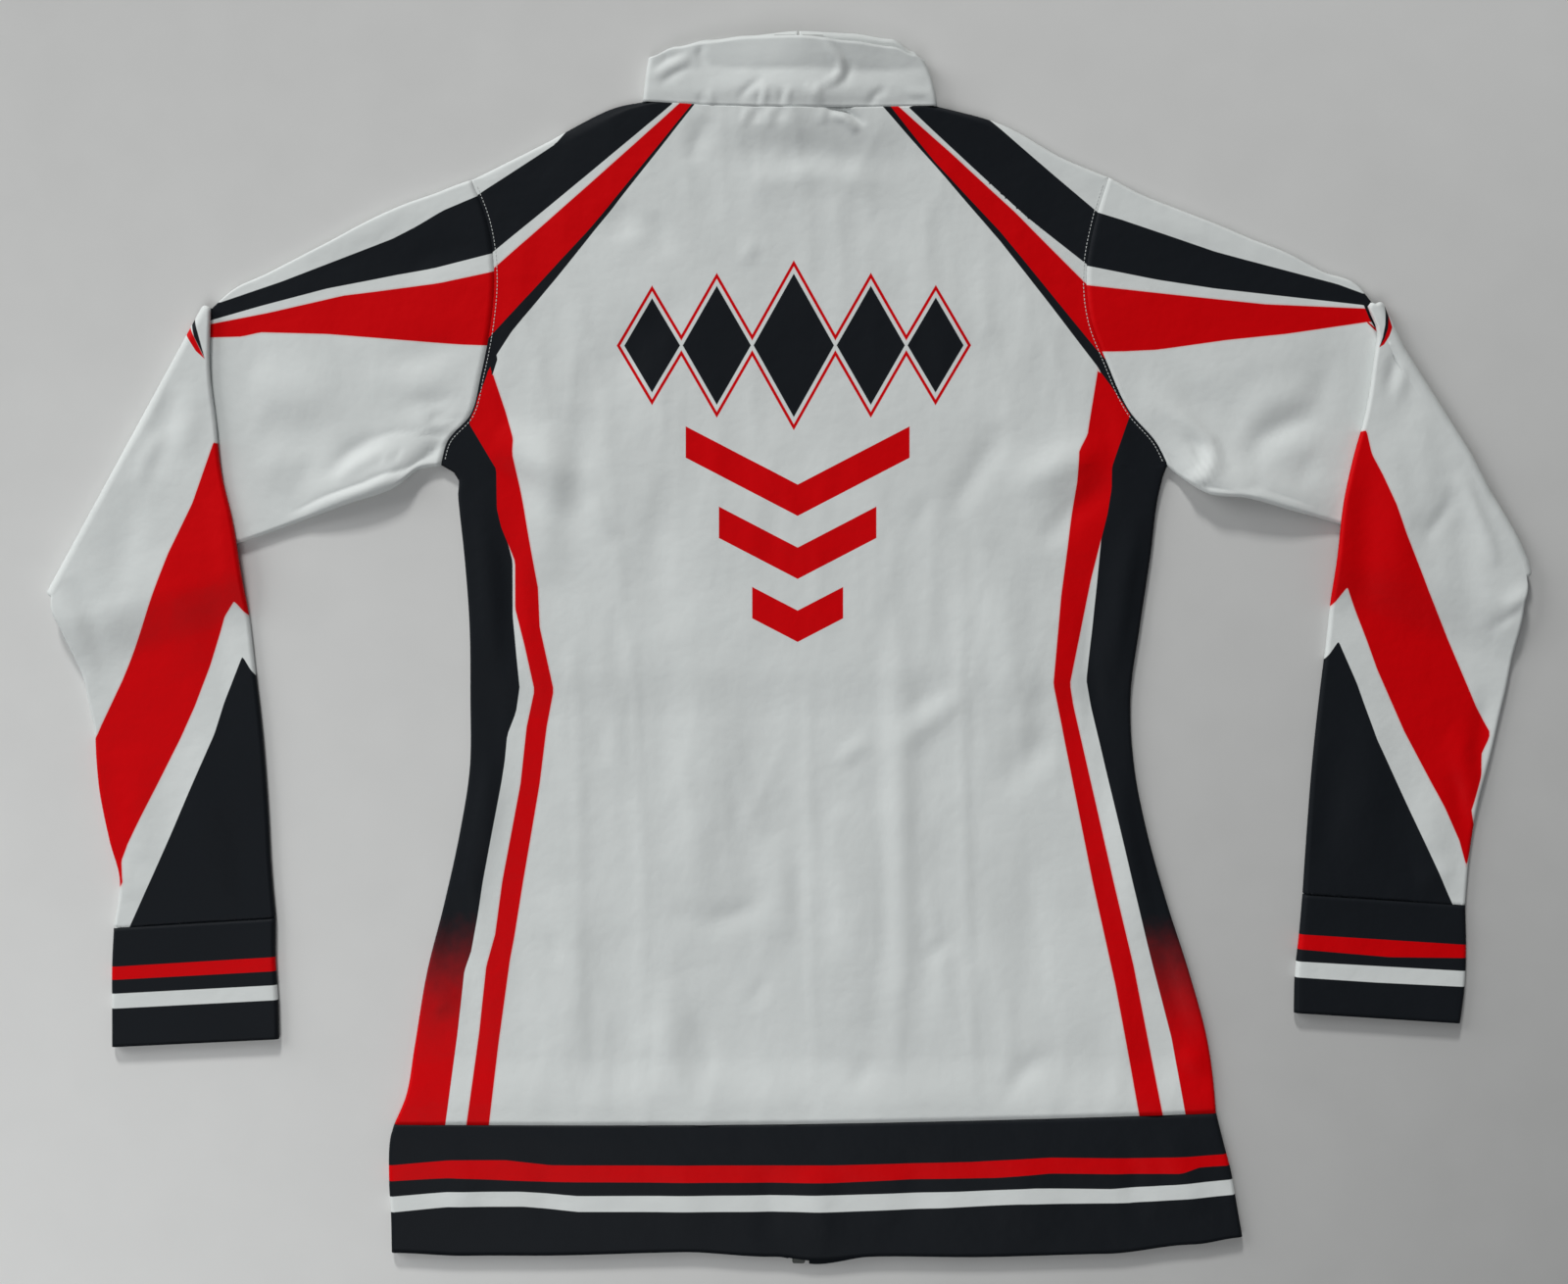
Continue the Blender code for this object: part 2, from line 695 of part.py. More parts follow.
def make_tapes():
    def place(side, column, row):
        y = TAPE_ROWS[row]
        x = side * between(tape_lane(y), TAPE_WIDTH, column / 2)
        single = BAND_EDGES[0] < y < BAND_EDGES[1]
        cloth = CLOTH if single else BAND
        return x, y, cloth + SEAM + TAPE / 2 + THROAT_LIFT * throat(x, y)

    for side, name in ((-1, "zip_tape_left"), (1, "zip_tape_right")):
        wall(
            name,
            lambda column, row, side=side: place(side, column, row),
            2,
            len(TAPE_ROWS) - 1,
            TAPE,
            WHITE_TAPE,
            flip=side < 0,
        )


def block(name, size, centre, radius, look, collection):
    """A box with its upright edges rounded."""
    mesh = bpy.data.meshes.new(name)
    box = bmesh.new()
    bmesh.ops.create_cube(box, size=1)
    bmesh.ops.scale(box, verts=box.verts, vec=Vector(size) * MM)
    if radius:
        upright = [edge for edge in box.edges if abs(edge.verts[0].co.z - edge.verts[1].co.z) > 1e-6]
        bmesh.ops.bevel(
            box, geom=upright, offset=radius * MM, segments=3, profile=0.5, affect="EDGES"
        )
    box.to_mesh(mesh)
    box.free()
    obj = bpy.data.objects.new(name, mesh)
    obj.location = Vector(centre) * MM
    collection.objects.link(obj)
    if look:
        finish(obj, look)
    return obj


PLATE = 1.0  # thickness of each of the slider's two plates
CHANNEL = 2.0  # height of the channel between them
CHANNEL_BOTTOM = 4.2  # its height over the table
SLIDER_WIDTH = 9.4
SLIDER_LENGTH = 11.0
SLIDER_ROUND = 2.0  # radius of the plates' corners
POST = (2.8, 2.6)  # the post between the plates, across and along
POST_Y = 4.0  # from the slider's middle to the post's
ARCH_HALF = 4.2  # half the length of the arch under the slider
ARCH_WIDTH = 1.8
ARCH_BAR = 1.1
ARCH_OPENING = 1.7
ARCH_LEG = (1.6, 1.0)
LEG_INSET = 0.6
OVERLAP = 0.2  # how far the arch's legs run into the plate


def make_slider():
    """Two plates joined by a post, with an arch under them that carries the pull tab."""
    plate = (SLIDER_WIDTH, SLIDER_LENGTH, PLATE)
    plate_z = CHANNEL_BOTTOM - PLATE / 2
    slider = block("zip_slider", plate, (0, SLIDER_Y, plate_z), SLIDER_ROUND, GREY_METAL, jacket)
    plate_bottom = CHANNEL_BOTTOM - PLATE
    bar_z = plate_bottom - ARCH_OPENING - ARCH_BAR / 2
    leg = (*ARCH_LEG, ARCH_OPENING + ARCH_BAR + OVERLAP)
    leg_z = plate_bottom + OVERLAP - leg[2] / 2
    leg_y = ARCH_HALF - LEG_INSET
    post_z = CHANNEL_BOTTOM + CHANNEL / 2
    pieces = (
        (plate, (0, SLIDER_Y, plate_z + PLATE + CHANNEL), SLIDER_ROUND),
        ((*POST, CHANNEL + PLATE), (0, SLIDER_Y + POST_Y, post_z), 0.0),
        ((ARCH_WIDTH, 2 * ARCH_HALF, ARCH_BAR), (0, SLIDER_Y, bar_z), 0.0),
        (leg, (0, SLIDER_Y - leg_y, leg_z), 0.0),
        (leg, (0, SLIDER_Y + leg_y, leg_z), 0.0),
    )
    for index, (size, centre, radius) in enumerate(pieces):
        piece = block(f"slider_join_{index}", size, centre, radius, None, joins)
        piece.hide_render = True
        piece.display_type = "WIRE"
        join = slider.modifiers.new(f"Join {index}", "BOOLEAN")
        join.operation = "UNION"
        join.object = piece


TAB_WIDTH = 7.0
TAB_LENGTH = 28.0  # from the hinge axis to the free end
TAB_BEHIND = 0.5  # the end beyond the axis
TAB_ROUND = 1.6
TAB_THICKNESS = 1.0
EYE = (3.4, 0.5, 5.2)  # width, and where it starts and ends along the tab
EYE_ROUND = 0.5
AXIS_Z = 2.3  # height of the pull tab's hinge axis


def rounded_rectangle(width, start, end, radius):
    """Points round a rectangle that runs along -Y from start to end, its corners as arcs."""
    corners = (
        (width / 2 - radius, -start - radius, 0),
        (radius - width / 2, -start - radius, 90),
        (radius - width / 2, radius - end, 180),
        (width / 2 - radius, radius - end, 270),
    )
    points = []
    for x, y, turned in corners:
        for step in range(4):
            angle = radians(turned + 30 * step)
            points.append((x + radius * cos(angle), y + radius * sin(angle)))
    return points


def make_pull_tab():
    """A flat tab with an eye round the slider's arch, its origin on the hinge axis."""
    curve = bpy.data.curves.new("zip_pull_tab", "CURVE")
    curve.dimensions = "2D"
    curve.fill_mode = "BOTH"
    curve.extrude = TAB_THICKNESS / 2 * MM
    outlines = (
        rounded_rectangle(TAB_WIDTH, -TAB_BEHIND, TAB_LENGTH, TAB_ROUND),
        rounded_rectangle(*EYE, EYE_ROUND),
    )
    for points in outlines:
        spline = curve.splines.new("POLY")
        spline.points.add(len(points) - 1)
        spline.use_cyclic_u = True
        for point, (x, y) in zip(spline.points, points):
            point.co = (x * MM, y * MM, 0, 1)
    tab = bpy.data.objects.new("zip_pull_tab", curve)
    tab.location = Vector((0, SLIDER_Y, AXIS_Z)) * MM
    jacket.objects.link(tab)
    finish(tab, GREY_METAL)


BOX_SIZE = (7.4, 11.6, 2.7)
BOX_MIDDLE = (0, 0.2, 1.75)
BOX_ROUND = 1.2
PIN_SIZE = (1.6, 12.0, 1.4)
PIN_MIDDLE = (1.5, BOX_MIDDLE[1] + (BOX_SIZE[1] + PIN_SIZE[1]) / 2 + SEAM, 2.3)


def make_zip():
    make_tapes()
    block("zip_box", BOX_SIZE, BOX_MIDDLE, BOX_ROUND, GREY_METAL, jacket)
    block("zip_pin", PIN_SIZE, PIN_MIDDLE, 0.0, GREY_METAL, jacket)
    make_slider()
    make_pull_tab()


def stand_on_origin():
    """Moves every object so that the jacket's box is centred over the origin, on the table."""
    bpy.context.view_layer.update()
    graph = bpy.context.evaluated_depsgraph_get()
    corners = []
    for obj in jacket.objects:
        evaluated = obj.evaluated_get(graph)
        mesh = evaluated.to_mesh()
        corners += [obj.matrix_world @ vert.co for vert in mesh.vertices]
        evaluated.to_mesh_clear()
    middle = [(min(c[axis] for c in corners) + max(c[axis] for c in corners)) / 2 for axis in (0, 1)]
    shift = Vector((-middle[0], -middle[1], 0))
    for obj in (*jacket.objects, *joins.objects):
        obj.location += shift


for old in list(bpy.data.objects):
    bpy.data.objects.remove(old, do_unlink=True)
jacket = bpy.data.collections.new("warm_up_jacket")
joins = bpy.data.collections.new("slider_joins")
bpy.context.scene.collection.children.link(jacket)
bpy.context.scene.collection.children.link(joins)

BODY_ROWS = body_rows()
make_body()
sleeve(
    -1,
    "sleeve_left",
    LEFT_UPPER_ARM,
    LEFT_FOLD,
    LEFT_FOREARM,
    LEFT_UPPER_CREASES,
    LEFT_FOREARM_CREASES,
)
sleeve(
    1,
    "sleeve_right",
    RIGHT_UPPER_ARM,
    RIGHT_FOLD,
    RIGHT_FOREARM,
    RIGHT_UPPER_CREASES,
    RIGHT_FOREARM_CREASES,
)
cuff(-1, "cuff_left", LEFT_CUFF)
cuff(1, "cuff_right", RIGHT_CUFF)
zip_to_zip("hem_band", HEM_ROWS, HEM_WAVES, (HEM_SAG, HEM_SAG), HEM_COLUMNS, (), BLACK_KNIT)
zip_to_zip(
    "collar",
    COLLAR_ROWS,
    COLLAR_WAVES,
    (NECK_DIP, FRONT_NECK_DROP),
    BACK_COLUMNS,
    COLLAR_CREASES,
    WHITE_KNIT,
)
make_zip()
stand_on_origin()
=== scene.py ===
from collections import namedtuple
from math import pi

import bmesh
import bpy
import numpy as np
from mathutils import Euler, Matrix, Vector


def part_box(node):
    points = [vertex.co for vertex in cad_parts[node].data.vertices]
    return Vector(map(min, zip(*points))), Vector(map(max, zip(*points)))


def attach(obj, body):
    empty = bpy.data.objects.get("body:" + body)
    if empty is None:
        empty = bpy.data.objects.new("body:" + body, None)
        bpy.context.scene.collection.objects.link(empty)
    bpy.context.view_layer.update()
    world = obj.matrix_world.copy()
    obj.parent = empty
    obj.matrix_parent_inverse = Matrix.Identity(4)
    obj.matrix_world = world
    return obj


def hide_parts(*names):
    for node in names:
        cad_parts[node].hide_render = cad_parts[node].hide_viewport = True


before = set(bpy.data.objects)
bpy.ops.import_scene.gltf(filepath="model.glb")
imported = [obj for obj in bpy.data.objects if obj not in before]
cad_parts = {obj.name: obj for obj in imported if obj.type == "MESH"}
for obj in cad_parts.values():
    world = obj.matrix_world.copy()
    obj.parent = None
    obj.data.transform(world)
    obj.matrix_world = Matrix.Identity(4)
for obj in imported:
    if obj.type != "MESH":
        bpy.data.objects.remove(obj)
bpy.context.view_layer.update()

# Fronts: two panels of printed polyester knit, cut to the back's outline and open down the
# middle at the zip. They lie flat on the table under the back, and at the sides the cloth
# turns up into a soft fold. Lengths are in millimetres: X = 0 is the closed zip, and Y = 0
# the hem band's lower edge.
MM = 0.001
CLOTH = 1.2
SEAM = 0.3  # between the edges of two pieces sewn together
HOLLOW = 2.4  # slack air between the lower and the upper layer
UPPER_BOTTOM = CLOTH + HOLLOW
ZIP_EDGE = 6.0  # from the zip's middle to a front's edge
BOX_Y = 0.2  # the middle of the zip's retainer box
box_low, box_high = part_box("zip_box")
SHIFT = (Vector(box_low) + Vector(box_high)) / 2 / MM - Vector((0, BOX_Y, 0))
SHIFT.z = 0

Row = namedtuple("Row", "left_x left_y right_x right_y")
SIDES = (  # hem seam up to the armpits
    Row(-231.5, 74, 239, 80.5),
    Row(-225, 89.5, 237.5, 98),
    Row(-220, 118, 234, 122),
    Row(-213, 160, 223.5, 161),
    Row(-203, 200, 211, 200),
    Row(-194, 241, 199.5, 241),
    Row(-188.5, 276, 192.5, 276),
    Row(-188, 319, 190, 319),
    Row(-188.5, 360, 195.5, 360),
    Row(-191.5, 400, 201.5, 400),
    Row(-195, 433, 206, 434),
    Row(-196, 446, 209, 446),
    Row(-204.5, 451.5, 211, 451),
)
ARMHOLES = (  # armpits up to the shoulder points
    SIDES[-1],
    Row(-201, 464, 205, 463),
    Row(-187.5, 480, 189, 482),
    Row(-181.5, 503, 176, 510),
    Row(-176, 532, 167, 534),
    Row(-174, 558, 164.5, 561),
    Row(-178, 590, 170, 593),
    Row(-187, 614, 177, 615.5),
)
SHOULDERS = (  # shoulder points up to the ends of the neck seam
    ARMHOLES[-1],
    Row(-150, 632.5, 152, 626),
    Row(-106, 655, 110, 648),
    Row(-89.5, 658.5, 79.5, 656),
)
SHOULDER_SPREAD = 2.2  # how many times wider the soft fold is at the shoulders
HEM_SAG = 2.8
HEM_SAG_FADE = 34.0
NECK_DIP = 3.4
FRONT_NECK_DROP = 35.0
SLIDER_Y = 687.0
THROAT_REACH = (34.0, 38.0)  # across and along, how far round it the slider props the cloth up
THROAT_LIFT = 2.6  # of the fronts over the slider
COLLAR_LIFT = 4.6  # of the layer above them
FAR = 20.0  # a distance from the print that is as good as any greater one
FRONT_STEP = 6.0
FRONT_COLUMNS = 34

# The print: closed outlines on the laid-out cloth. The red lies over the black. It runs on
# round the side folds, so the fronts and the back share it.
SHOULDER_BLACK = (
    (
        (-71.5, 657), (-84.5, 659), (-97, 660), (-113, 656), (-125, 650), (-139, 634.5),
        (-183.5, 605.5), (-196, 597.5), (-193, 558),
    ),
    (
        (62.5, 654.5), (74.5, 658.5), (100, 655.5), (171, 595.5), (182, 586.5), (182, 553.5),
        (165, 565.5), (130, 593), (92.5, 627),
    ),
)
SHOULDER_UNDER_RED = (
    (
        (-57.5, 658.5), (-116, 586), (-135.5, 561.5), (-164, 527.5), (-176.5, 508),
        (-186.5, 493), (-190, 530), (-125, 588), (-66, 658),
    ),
    (
        (46.5, 656), (78, 621.5), (115.5, 578.5), (145, 541), (171, 507), (181, 491.5),
        (184, 530), (130, 586), (54, 656),
    ),
)
SHOULDER_RED = (
    (
        (-66, 658.5), (-59.5, 658), (-119.5, 586), (-177.5, 523.5), (-187.5, 513),
        (-187.5, 552),
    ),
    (
        (52, 655), (56, 655.5), (85, 630.5), (122.5, 596.5), (145, 574), (164.5, 554.5),
        (176.5, 544.5), (182, 504), (169.5, 518), (145, 548), (115.5, 584), (78, 623.5),
    ),
)
SIDE_RED = (
    (
        (-176.5, 508.5), (-167.5, 481.5), (-163, 466), (-163.5, 457.5), (-157, 426),
        (-149, 381), (-148, 358.5), (-140, 322.5), (-144, 301.5), (-148, 269), (-157.5, 213),
        (-162.5, 181.5), (-165, 168.5), (-171.5, 121), (-177.5, 70), (-190.5, 70),
        (-182.5, 127.5), (-178.5, 165), (-173.5, 183), (-169.5, 213), (-159, 269),
        (-155.5, 301.5), (-151, 322.5), (-157, 349.5), (-162, 369), (-162, 396),
        (-170, 415.5), (-172.5, 426), (-173, 449), (-188.5, 475), (-187, 479),
        (-184.5, 484.5), (-183.5, 489.5), (-181, 495.5), (-179, 500),
    ),
    (
        (171.5, 508.5), (166.5, 478), (165, 468.5), (160, 459), (159, 441.5), (155, 413.5),
        (150, 376.5), (145.5, 326), (168, 213), (181, 154), (196, 72), (209.5, 72),
        (191.5, 164.5), (180, 213), (157, 313.5), (155, 326), (167, 385.5), (176.5, 423),
        (179, 437.5), (179, 450), (187, 473.5), (189.5, 480), (188, 482), (184.5, 487.5),
        (179, 495.5), (172, 505),
    ),
)
SIDE_BLACK = (
    (
        (-193, 481), (-185, 474.5), (-170, 449), (-168, 426), (-167, 410), (-163.5, 396),
        (-163.5, 364.5), (-159.5, 324), (-161.5, 310), (-166.5, 297), (-168, 281.5),
        (-170, 269), (-180.5, 213), (-183.5, 193), (-187, 173.5), (-191, 162), (-195, 126),
        (-202.5, 70), (-243.5, 70), (-215.5, 269), (-210, 453.5),
    ),
    (
        (188, 484), (176, 450), (176, 437.5), (174, 423), (172.5, 404.5), (168, 358),
        (164.5, 328), (167, 313.5), (190.5, 213), (202, 166.5), (213, 124), (222.5, 72),
        (255, 72), (224, 269), (224, 453.5), (201.5, 493),
    ),
)
ARMHOLE_BLACK = (
    ((-172, 512), (-184, 474), (-202, 474), (-202, 484), (-187, 514)),
    ((168, 514), (186, 474), (202, 474), (202, 488), (180, 514)),
)
BODY_PRINT = {
    "black": (*SHOULDER_BLACK, *SHOULDER_UNDER_RED, *SIDE_BLACK, *ARMHOLE_BLACK),
    "red": (*SHOULDER_RED, *SIDE_RED),
}


def between(first, second, share):
    return first + (second - first) * share


def eased(share):
    share = np.clip(share, 0, 1)
    return share * share * (3 - 2 * share)


def arc(share):
    """The height, 0 to 1, of a quarter turn at a share of its reach."""
    return np.sqrt(1 - (1 - np.clip(share, 0, 1)) ** 2)


FOLD_TURN = np.array([0, 0.06, 0.2, 0.42, 0.7, 1.0])  # shares of the way in round a side fold
FOLD_RISE = arc(FOLD_TURN)
FOLD_REACH = HOLLOW - CLOTH / 2


def distances(table):
    """Distances of a table's rows from its first one, taken half way across."""
    steps = np.linalg.norm(np.diff(table, axis=0), axis=1) / np.sqrt(np.shape(table)[1] / 2)
    return np.concatenate([[0], np.cumsum(steps)])


def stations(table, step, ends=()):
    """Distances about step apart along a table, and at both its ends also these far in."""
    total = distances(table)[-1]
    start = max(ends, default=0)
    count = max(1, round((total - 2 * start) / step))
    first = [share for share in (0, *ends) if share < start]
    last = [total - share for share in reversed(first)]
    return np.concatenate([first, np.linspace(start, total - start, count + 1), last])


def run_through(table, spots):
    """A table's rows at these distances along it, each column a smooth curve."""
    rows = np.array(table, float)
    at = distances(rows)
    slopes = np.gradient(rows, at, axis=0)
    row = np.clip(np.searchsorted(at, spots, side="right") - 1, 0, len(at) - 2)
    gap = np.diff(at)[row][:, None]
    t = ((spots - at[row]) / gap[:, 0])[:, None]
    return (
        (2 * t**3 - 3 * t**2 + 1) * rows[row]
        + (t**3 - 2 * t**2 + t) * gap * slopes[row]
        + (3 * t**2 - 2 * t**3) * rows[row + 1]
        + (t**3 - t**2) * gap * slopes[row + 1]
    )


def throat(x, y):
    """1 over the slider, dying away round it."""
    across, along = THROAT_REACH
    return np.exp(-((x / across) ** 2) - ((y - SLIDER_Y) / along) ** 2)


def body_rows(step):
    """The body's rows, how high their ends lie, 0 to 1, and how far in their wall starts."""
    sides = run_through(SIDES, stations(SIDES, step))
    spots = stations(ARMHOLES, step, ends=(0.1, 0.5, FOLD_REACH))  # closer where it rises
    holes = run_through(ARMHOLES, spots)
    shoulders = run_through(SHOULDERS, stations(SHOULDERS, step))
    rows = np.concatenate([sides[:-1], holes, shoulders[1:]])
    up_to, past = len(sides) - 1, len(sides) + len(holes) - 1
    rise = np.zeros(len(rows))
    rise[up_to:past] = arc(np.minimum(spots, spots[-1] - spots) / FOLD_REACH)
    inset = np.where(rise == 0, CLOTH / 2, 0.0)
    spread = np.where(np.arange(len(rows)) >= past, SHOULDER_SPREAD, 1.0)
    start = inset[:, None] + FOLD_REACH * spread[:, None] * FOLD_TURN
    return rows, rise[:, None], start / (rows[:, 2:3] - rows[:, :1])


def sag(share, drop):
    return drop * np.sin(pi * share)


def body_plan(rows, share, drop):
    """Points of the body in plan. Rows sag to the hem, and by drop to the neck."""
    x = between(rows[:, :1], rows[:, 2:3], share)
    y = between(rows[:, 1:2], rows[:, 3:4], share)
    height = (rows[:, 1:2] + rows[:, 3:4]) / 2
    armpit = (ARMHOLES[0].left_y + ARMHOLES[0].right_y) / 2
    climb = np.clip((height - armpit) / (height[-1] - armpit), 0, 1)
    above_hem = (height - height[0]) / HEM_SAG_FADE
    y = y - sag(share, drop) * climb**2 - sag(share, HEM_SAG) * np.clip(1 - above_hem, 0, 1)
    y[0] += SEAM / 2
    y[-1] -= SEAM / 4
    return x, y


def printed(outlines, x, y):
    """How far inside the nearest of some outlines each point lies; outside it is negative."""
    best = np.full(x.shape, -FAR)
    for outline in outlines:
        near = np.full(x.shape, FAR)
        within = np.zeros(x.shape, bool)
        for (x0, y0), (x1, y1) in zip(outline, outline[1:] + outline[:1]):
            run_x, run_y = x1 - x0, y1 - y0
            share = ((x - x0) * run_x + (y - y0) * run_y) / (run_x**2 + run_y**2)
            share = np.clip(share, 0, 1)
            near = np.minimum(near, np.hypot(x - x0 - share * run_x, y - y0 - share * run_y))
            if y0 != y1:
                within ^= ((y0 > y) != (y1 > y)) & (x < x0 + run_x * (y - y0) / run_y)
        best = np.maximum(best, np.where(within, near, -near))
    return best


def mesh_of(name, sheet):
    mesh = bpy.data.meshes.new(name)
    sheet.to_mesh(mesh)
    sheet.free()
    return mesh


def placed(name, data):
    """A new object in the scene that holds this mesh, light or camera."""
    thing = bpy.data.objects.new(name, data)
    bpy.context.scene.collection.objects.link(thing)
    return thing


def cloth(name, points, marks, thickness, closed=False, flip=False):
    """A wall of cloth through a grid of points: rows by columns by x, y and z.

    Marks are the print's outlines by colour, measured at every point for the finish. A closed
    sheet is a tube, and its last column meets its first.
    """
    down, across = points.shape[:2]
    sheet = bmesh.new()
    bmesh.ops.create_grid(sheet, x_segments=across - 1, y_segments=down - 1, size=1)
    places = (points.reshape(-1, 3) + np.array(SHIFT)) * MM
    for index, vert in enumerate(sheet.verts):
        vert.co = places[index]
    for colour in ("black", "red", "white"):
        layer = sheet.verts.layers.float.new(colour)
        values = marks[colour].ravel() if colour in marks else np.full(len(places), -FAR)
        for index, vert in enumerate(sheet.verts):
            vert[layer] = values[index]
    if closed:
        bmesh.ops.remove_doubles(sheet, verts=sheet.verts, dist=1e-7)
    if flip:
        bmesh.ops.reverse_faces(sheet, faces=sheet.faces)
    piece = placed(name, mesh_of(name, sheet))
    piece.data.shade_smooth()
    wall = piece.modifiers.new("Cloth", "SOLIDIFY")
    wall.thickness = thickness * MM
    wall.offset = 0
    return piece


def print_marks(outlines, x, y):
    return {colour: printed(shapes, x, y) for colour, shapes in outlines.items()}


class Dye:
    """One value among a finish's nodes. Sums on it add Math nodes."""

    def __init__(self, tree, socket=None):
        self.tree = tree
        self.socket = socket

    def node(self, kind, settings=None, inputs=None, out=0):
        node = self.tree.nodes.new(kind)
        for name, value in (settings or {}).items():
            setattr(node, name, value)
        for name, value in (inputs or {}).items():
            if isinstance(value, Dye):
                self.tree.links.new(value.socket, node.inputs[name])
            else:
                node.inputs[name].default_value = value
        return Dye(self.tree, node.outputs[out])

    def feed(self, shader, name):
        self.tree.links.new(self.socket, shader.inputs[name])

    def maths(self, operation, *values):
        return self.node("ShaderNodeMath", {"operation": operation}, dict(enumerate(values)))

    def __add__(self, other):
        return self.maths("ADD", self, other)

    def __radd__(self, other):
        return self.maths("ADD", other, self)

    def __sub__(self, other):
        return self.maths("SUBTRACT", self, other)

    def __rsub__(self, other):
        return self.maths("SUBTRACT", other, self)

    def __mul__(self, other):
        return self.maths("MULTIPLY", self, other)

    def __rmul__(self, other):
        return self.maths("MULTIPLY", other, self)

    def __abs__(self):
        return self.maths("ABSOLUTE", self)

    def step(self, start, end):
        """0 at start, 1 at end and beyond it, smooth in between."""
        inputs = {"Value": self, "From Min": start, "From Max": end}
        return self.node("ShaderNodeMapRange", {"interpolation_type": "SMOOTHSTEP"}, inputs)

    def mix(self, first, second):
        """The colour first where this value is 0, second where it is 1."""
        inputs = {0: self, 6: first, 7: second}
        return self.node("ShaderNodeMix", {"data_type": "RGBA"}, inputs, out=2)

    def cloud(self, size, detail, rough=0.5):
        """Soft patches about this many millimetres across, where this value is a place."""
        inputs = {"Vector": self, "Scale": 1 / (size * MM), "Detail": detail, "Roughness": rough}
        return self.node("ShaderNodeTexNoise", inputs=inputs)

    def coordinate(self, axis):
        """Millimetres along X (0), Y (1) or Z (2) in the tables, where this is a place."""
        along = self.node("ShaderNodeSeparateXYZ", inputs={0: self}, out=axis)
        return along * (1 / MM) - SHIFT[axis]


def finish_of(name):
    """A new finish: its material, its shader and the place on the object it is read at."""
    material = bpy.data.materials.new(name)
    material.use_nodes = True
    shader = material.node_tree.nodes["Principled BSDF"]
    return material, shader, Dye(material.node_tree).node("ShaderNodeTexCoord", out=3)


def relief(height, shader, strength):
    """Bumps as many millimetres high as height says."""
    inputs = {"Height": height, "Strength": strength, "Distance": MM}
    height.node("ShaderNodeBump", inputs=inputs).feed(shader, "Normal")


WHITE = (0.69, 0.72, 0.712, 1)
BLACK = (0.0095, 0.0115, 0.0145, 1)
RED = (0.62, 0.0, 0.002, 1)
BLEED = (0.72, 0.36, 0.34, 1)  # the pink rim where the red has run a little
INK_EDGE = 0.2  # half the width over which one colour of the print meets the next
FADE = (112, 196)  # heights over which the side panels turn from red below to black above
FADE_WANDER = 16  # how much those heights differ from place to place
BLEED_WIDTH = 1.3
LOOP = (0.9, 1.1)  # width and height of the knit's loops
LOOP_RELIEF = 0.02
CREPE = (2.6, 0.08)  # size and height of its finest unevenness
SLACK = (24, 1.6)  # and of the softest
PRESS_WIDTH = 2.8  # over which a pressed line falls away
PRESS_ENDS = 30  # over which its ends fade


def knit(name, base, fade=None, artwork=None, pressed=()):
    """Printed polyester knit: fine loops in rows, softly uneven, with a faint sheen.

    Pressed lines are the sharp creases in it: from x0, y0 up to x1, y1, and how deep.
    """
    material, shader, place = finish_of(name)
    across, up = place.coordinate(0), place.coordinate(1)

    def mark(colour, start=-INK_EDGE, end=INK_EDGE):
        distance = place.node("ShaderNodeAttribute", {"attribute_name": colour}, out=2)
        return distance.step(start, end)

    light = [value * 1.02 for value in base[:3]] + [1]
    dull = [value * 0.96 for value in base[:3]] + [1]
    plain = place.cloud(70, 2).step(0.3, 0.7).mix(dull, light)
    black = BLACK
    if fade:
        height = up + (place.cloud(9, 3) - 0.5) * FADE_WANDER
        black = height.step(*fade).mix(RED, BLACK)
    colour = mark("black").mix(plain, black)
    if base == WHITE:
        rim = mark("red", -BLEED_WIDTH, 0.0) * (1 - mark("black", -0.4, 0.4)) * 0.4
        colour = rim.mix(colour, BLEED)
    colour = mark("red").mix(colour, RED)
    colour = mark("white").mix(colour, WHITE)
    if artwork:
        colour = artwork(colour, place)
    colour.feed(shader, "Base Color")
    wales = (across * (2 * pi / LOOP[0])).maths("SINE")
    loops = wales * (up * (2 * pi / LOOP[1])).maths("SINE")
    height = loops * LOOP_RELIEF + place.cloud(CREPE[0], 2) * CREPE[1]
    height = height + place.cloud(SLACK[0], 3) * SLACK[1]
    for x0, y0, x1, y1, depth in pressed:
        slope = (x1 - x0) / (y1 - y0)
        off = across - up * slope - (x0 - y0 * slope)
        sharp = (abs(off) * (-1 / PRESS_WIDTH)).maths("EXPONENT")
        ends = up.step(y0, y0 + PRESS_ENDS) * up.step(y1, y1 - PRESS_ENDS)
        height = height + sharp * ends * depth
    relief(height, shader, 0.6)
    shader.inputs["Roughness"].default_value = 0.5
    shader.inputs["Specular IOR Level"].default_value = 0.07
    return material


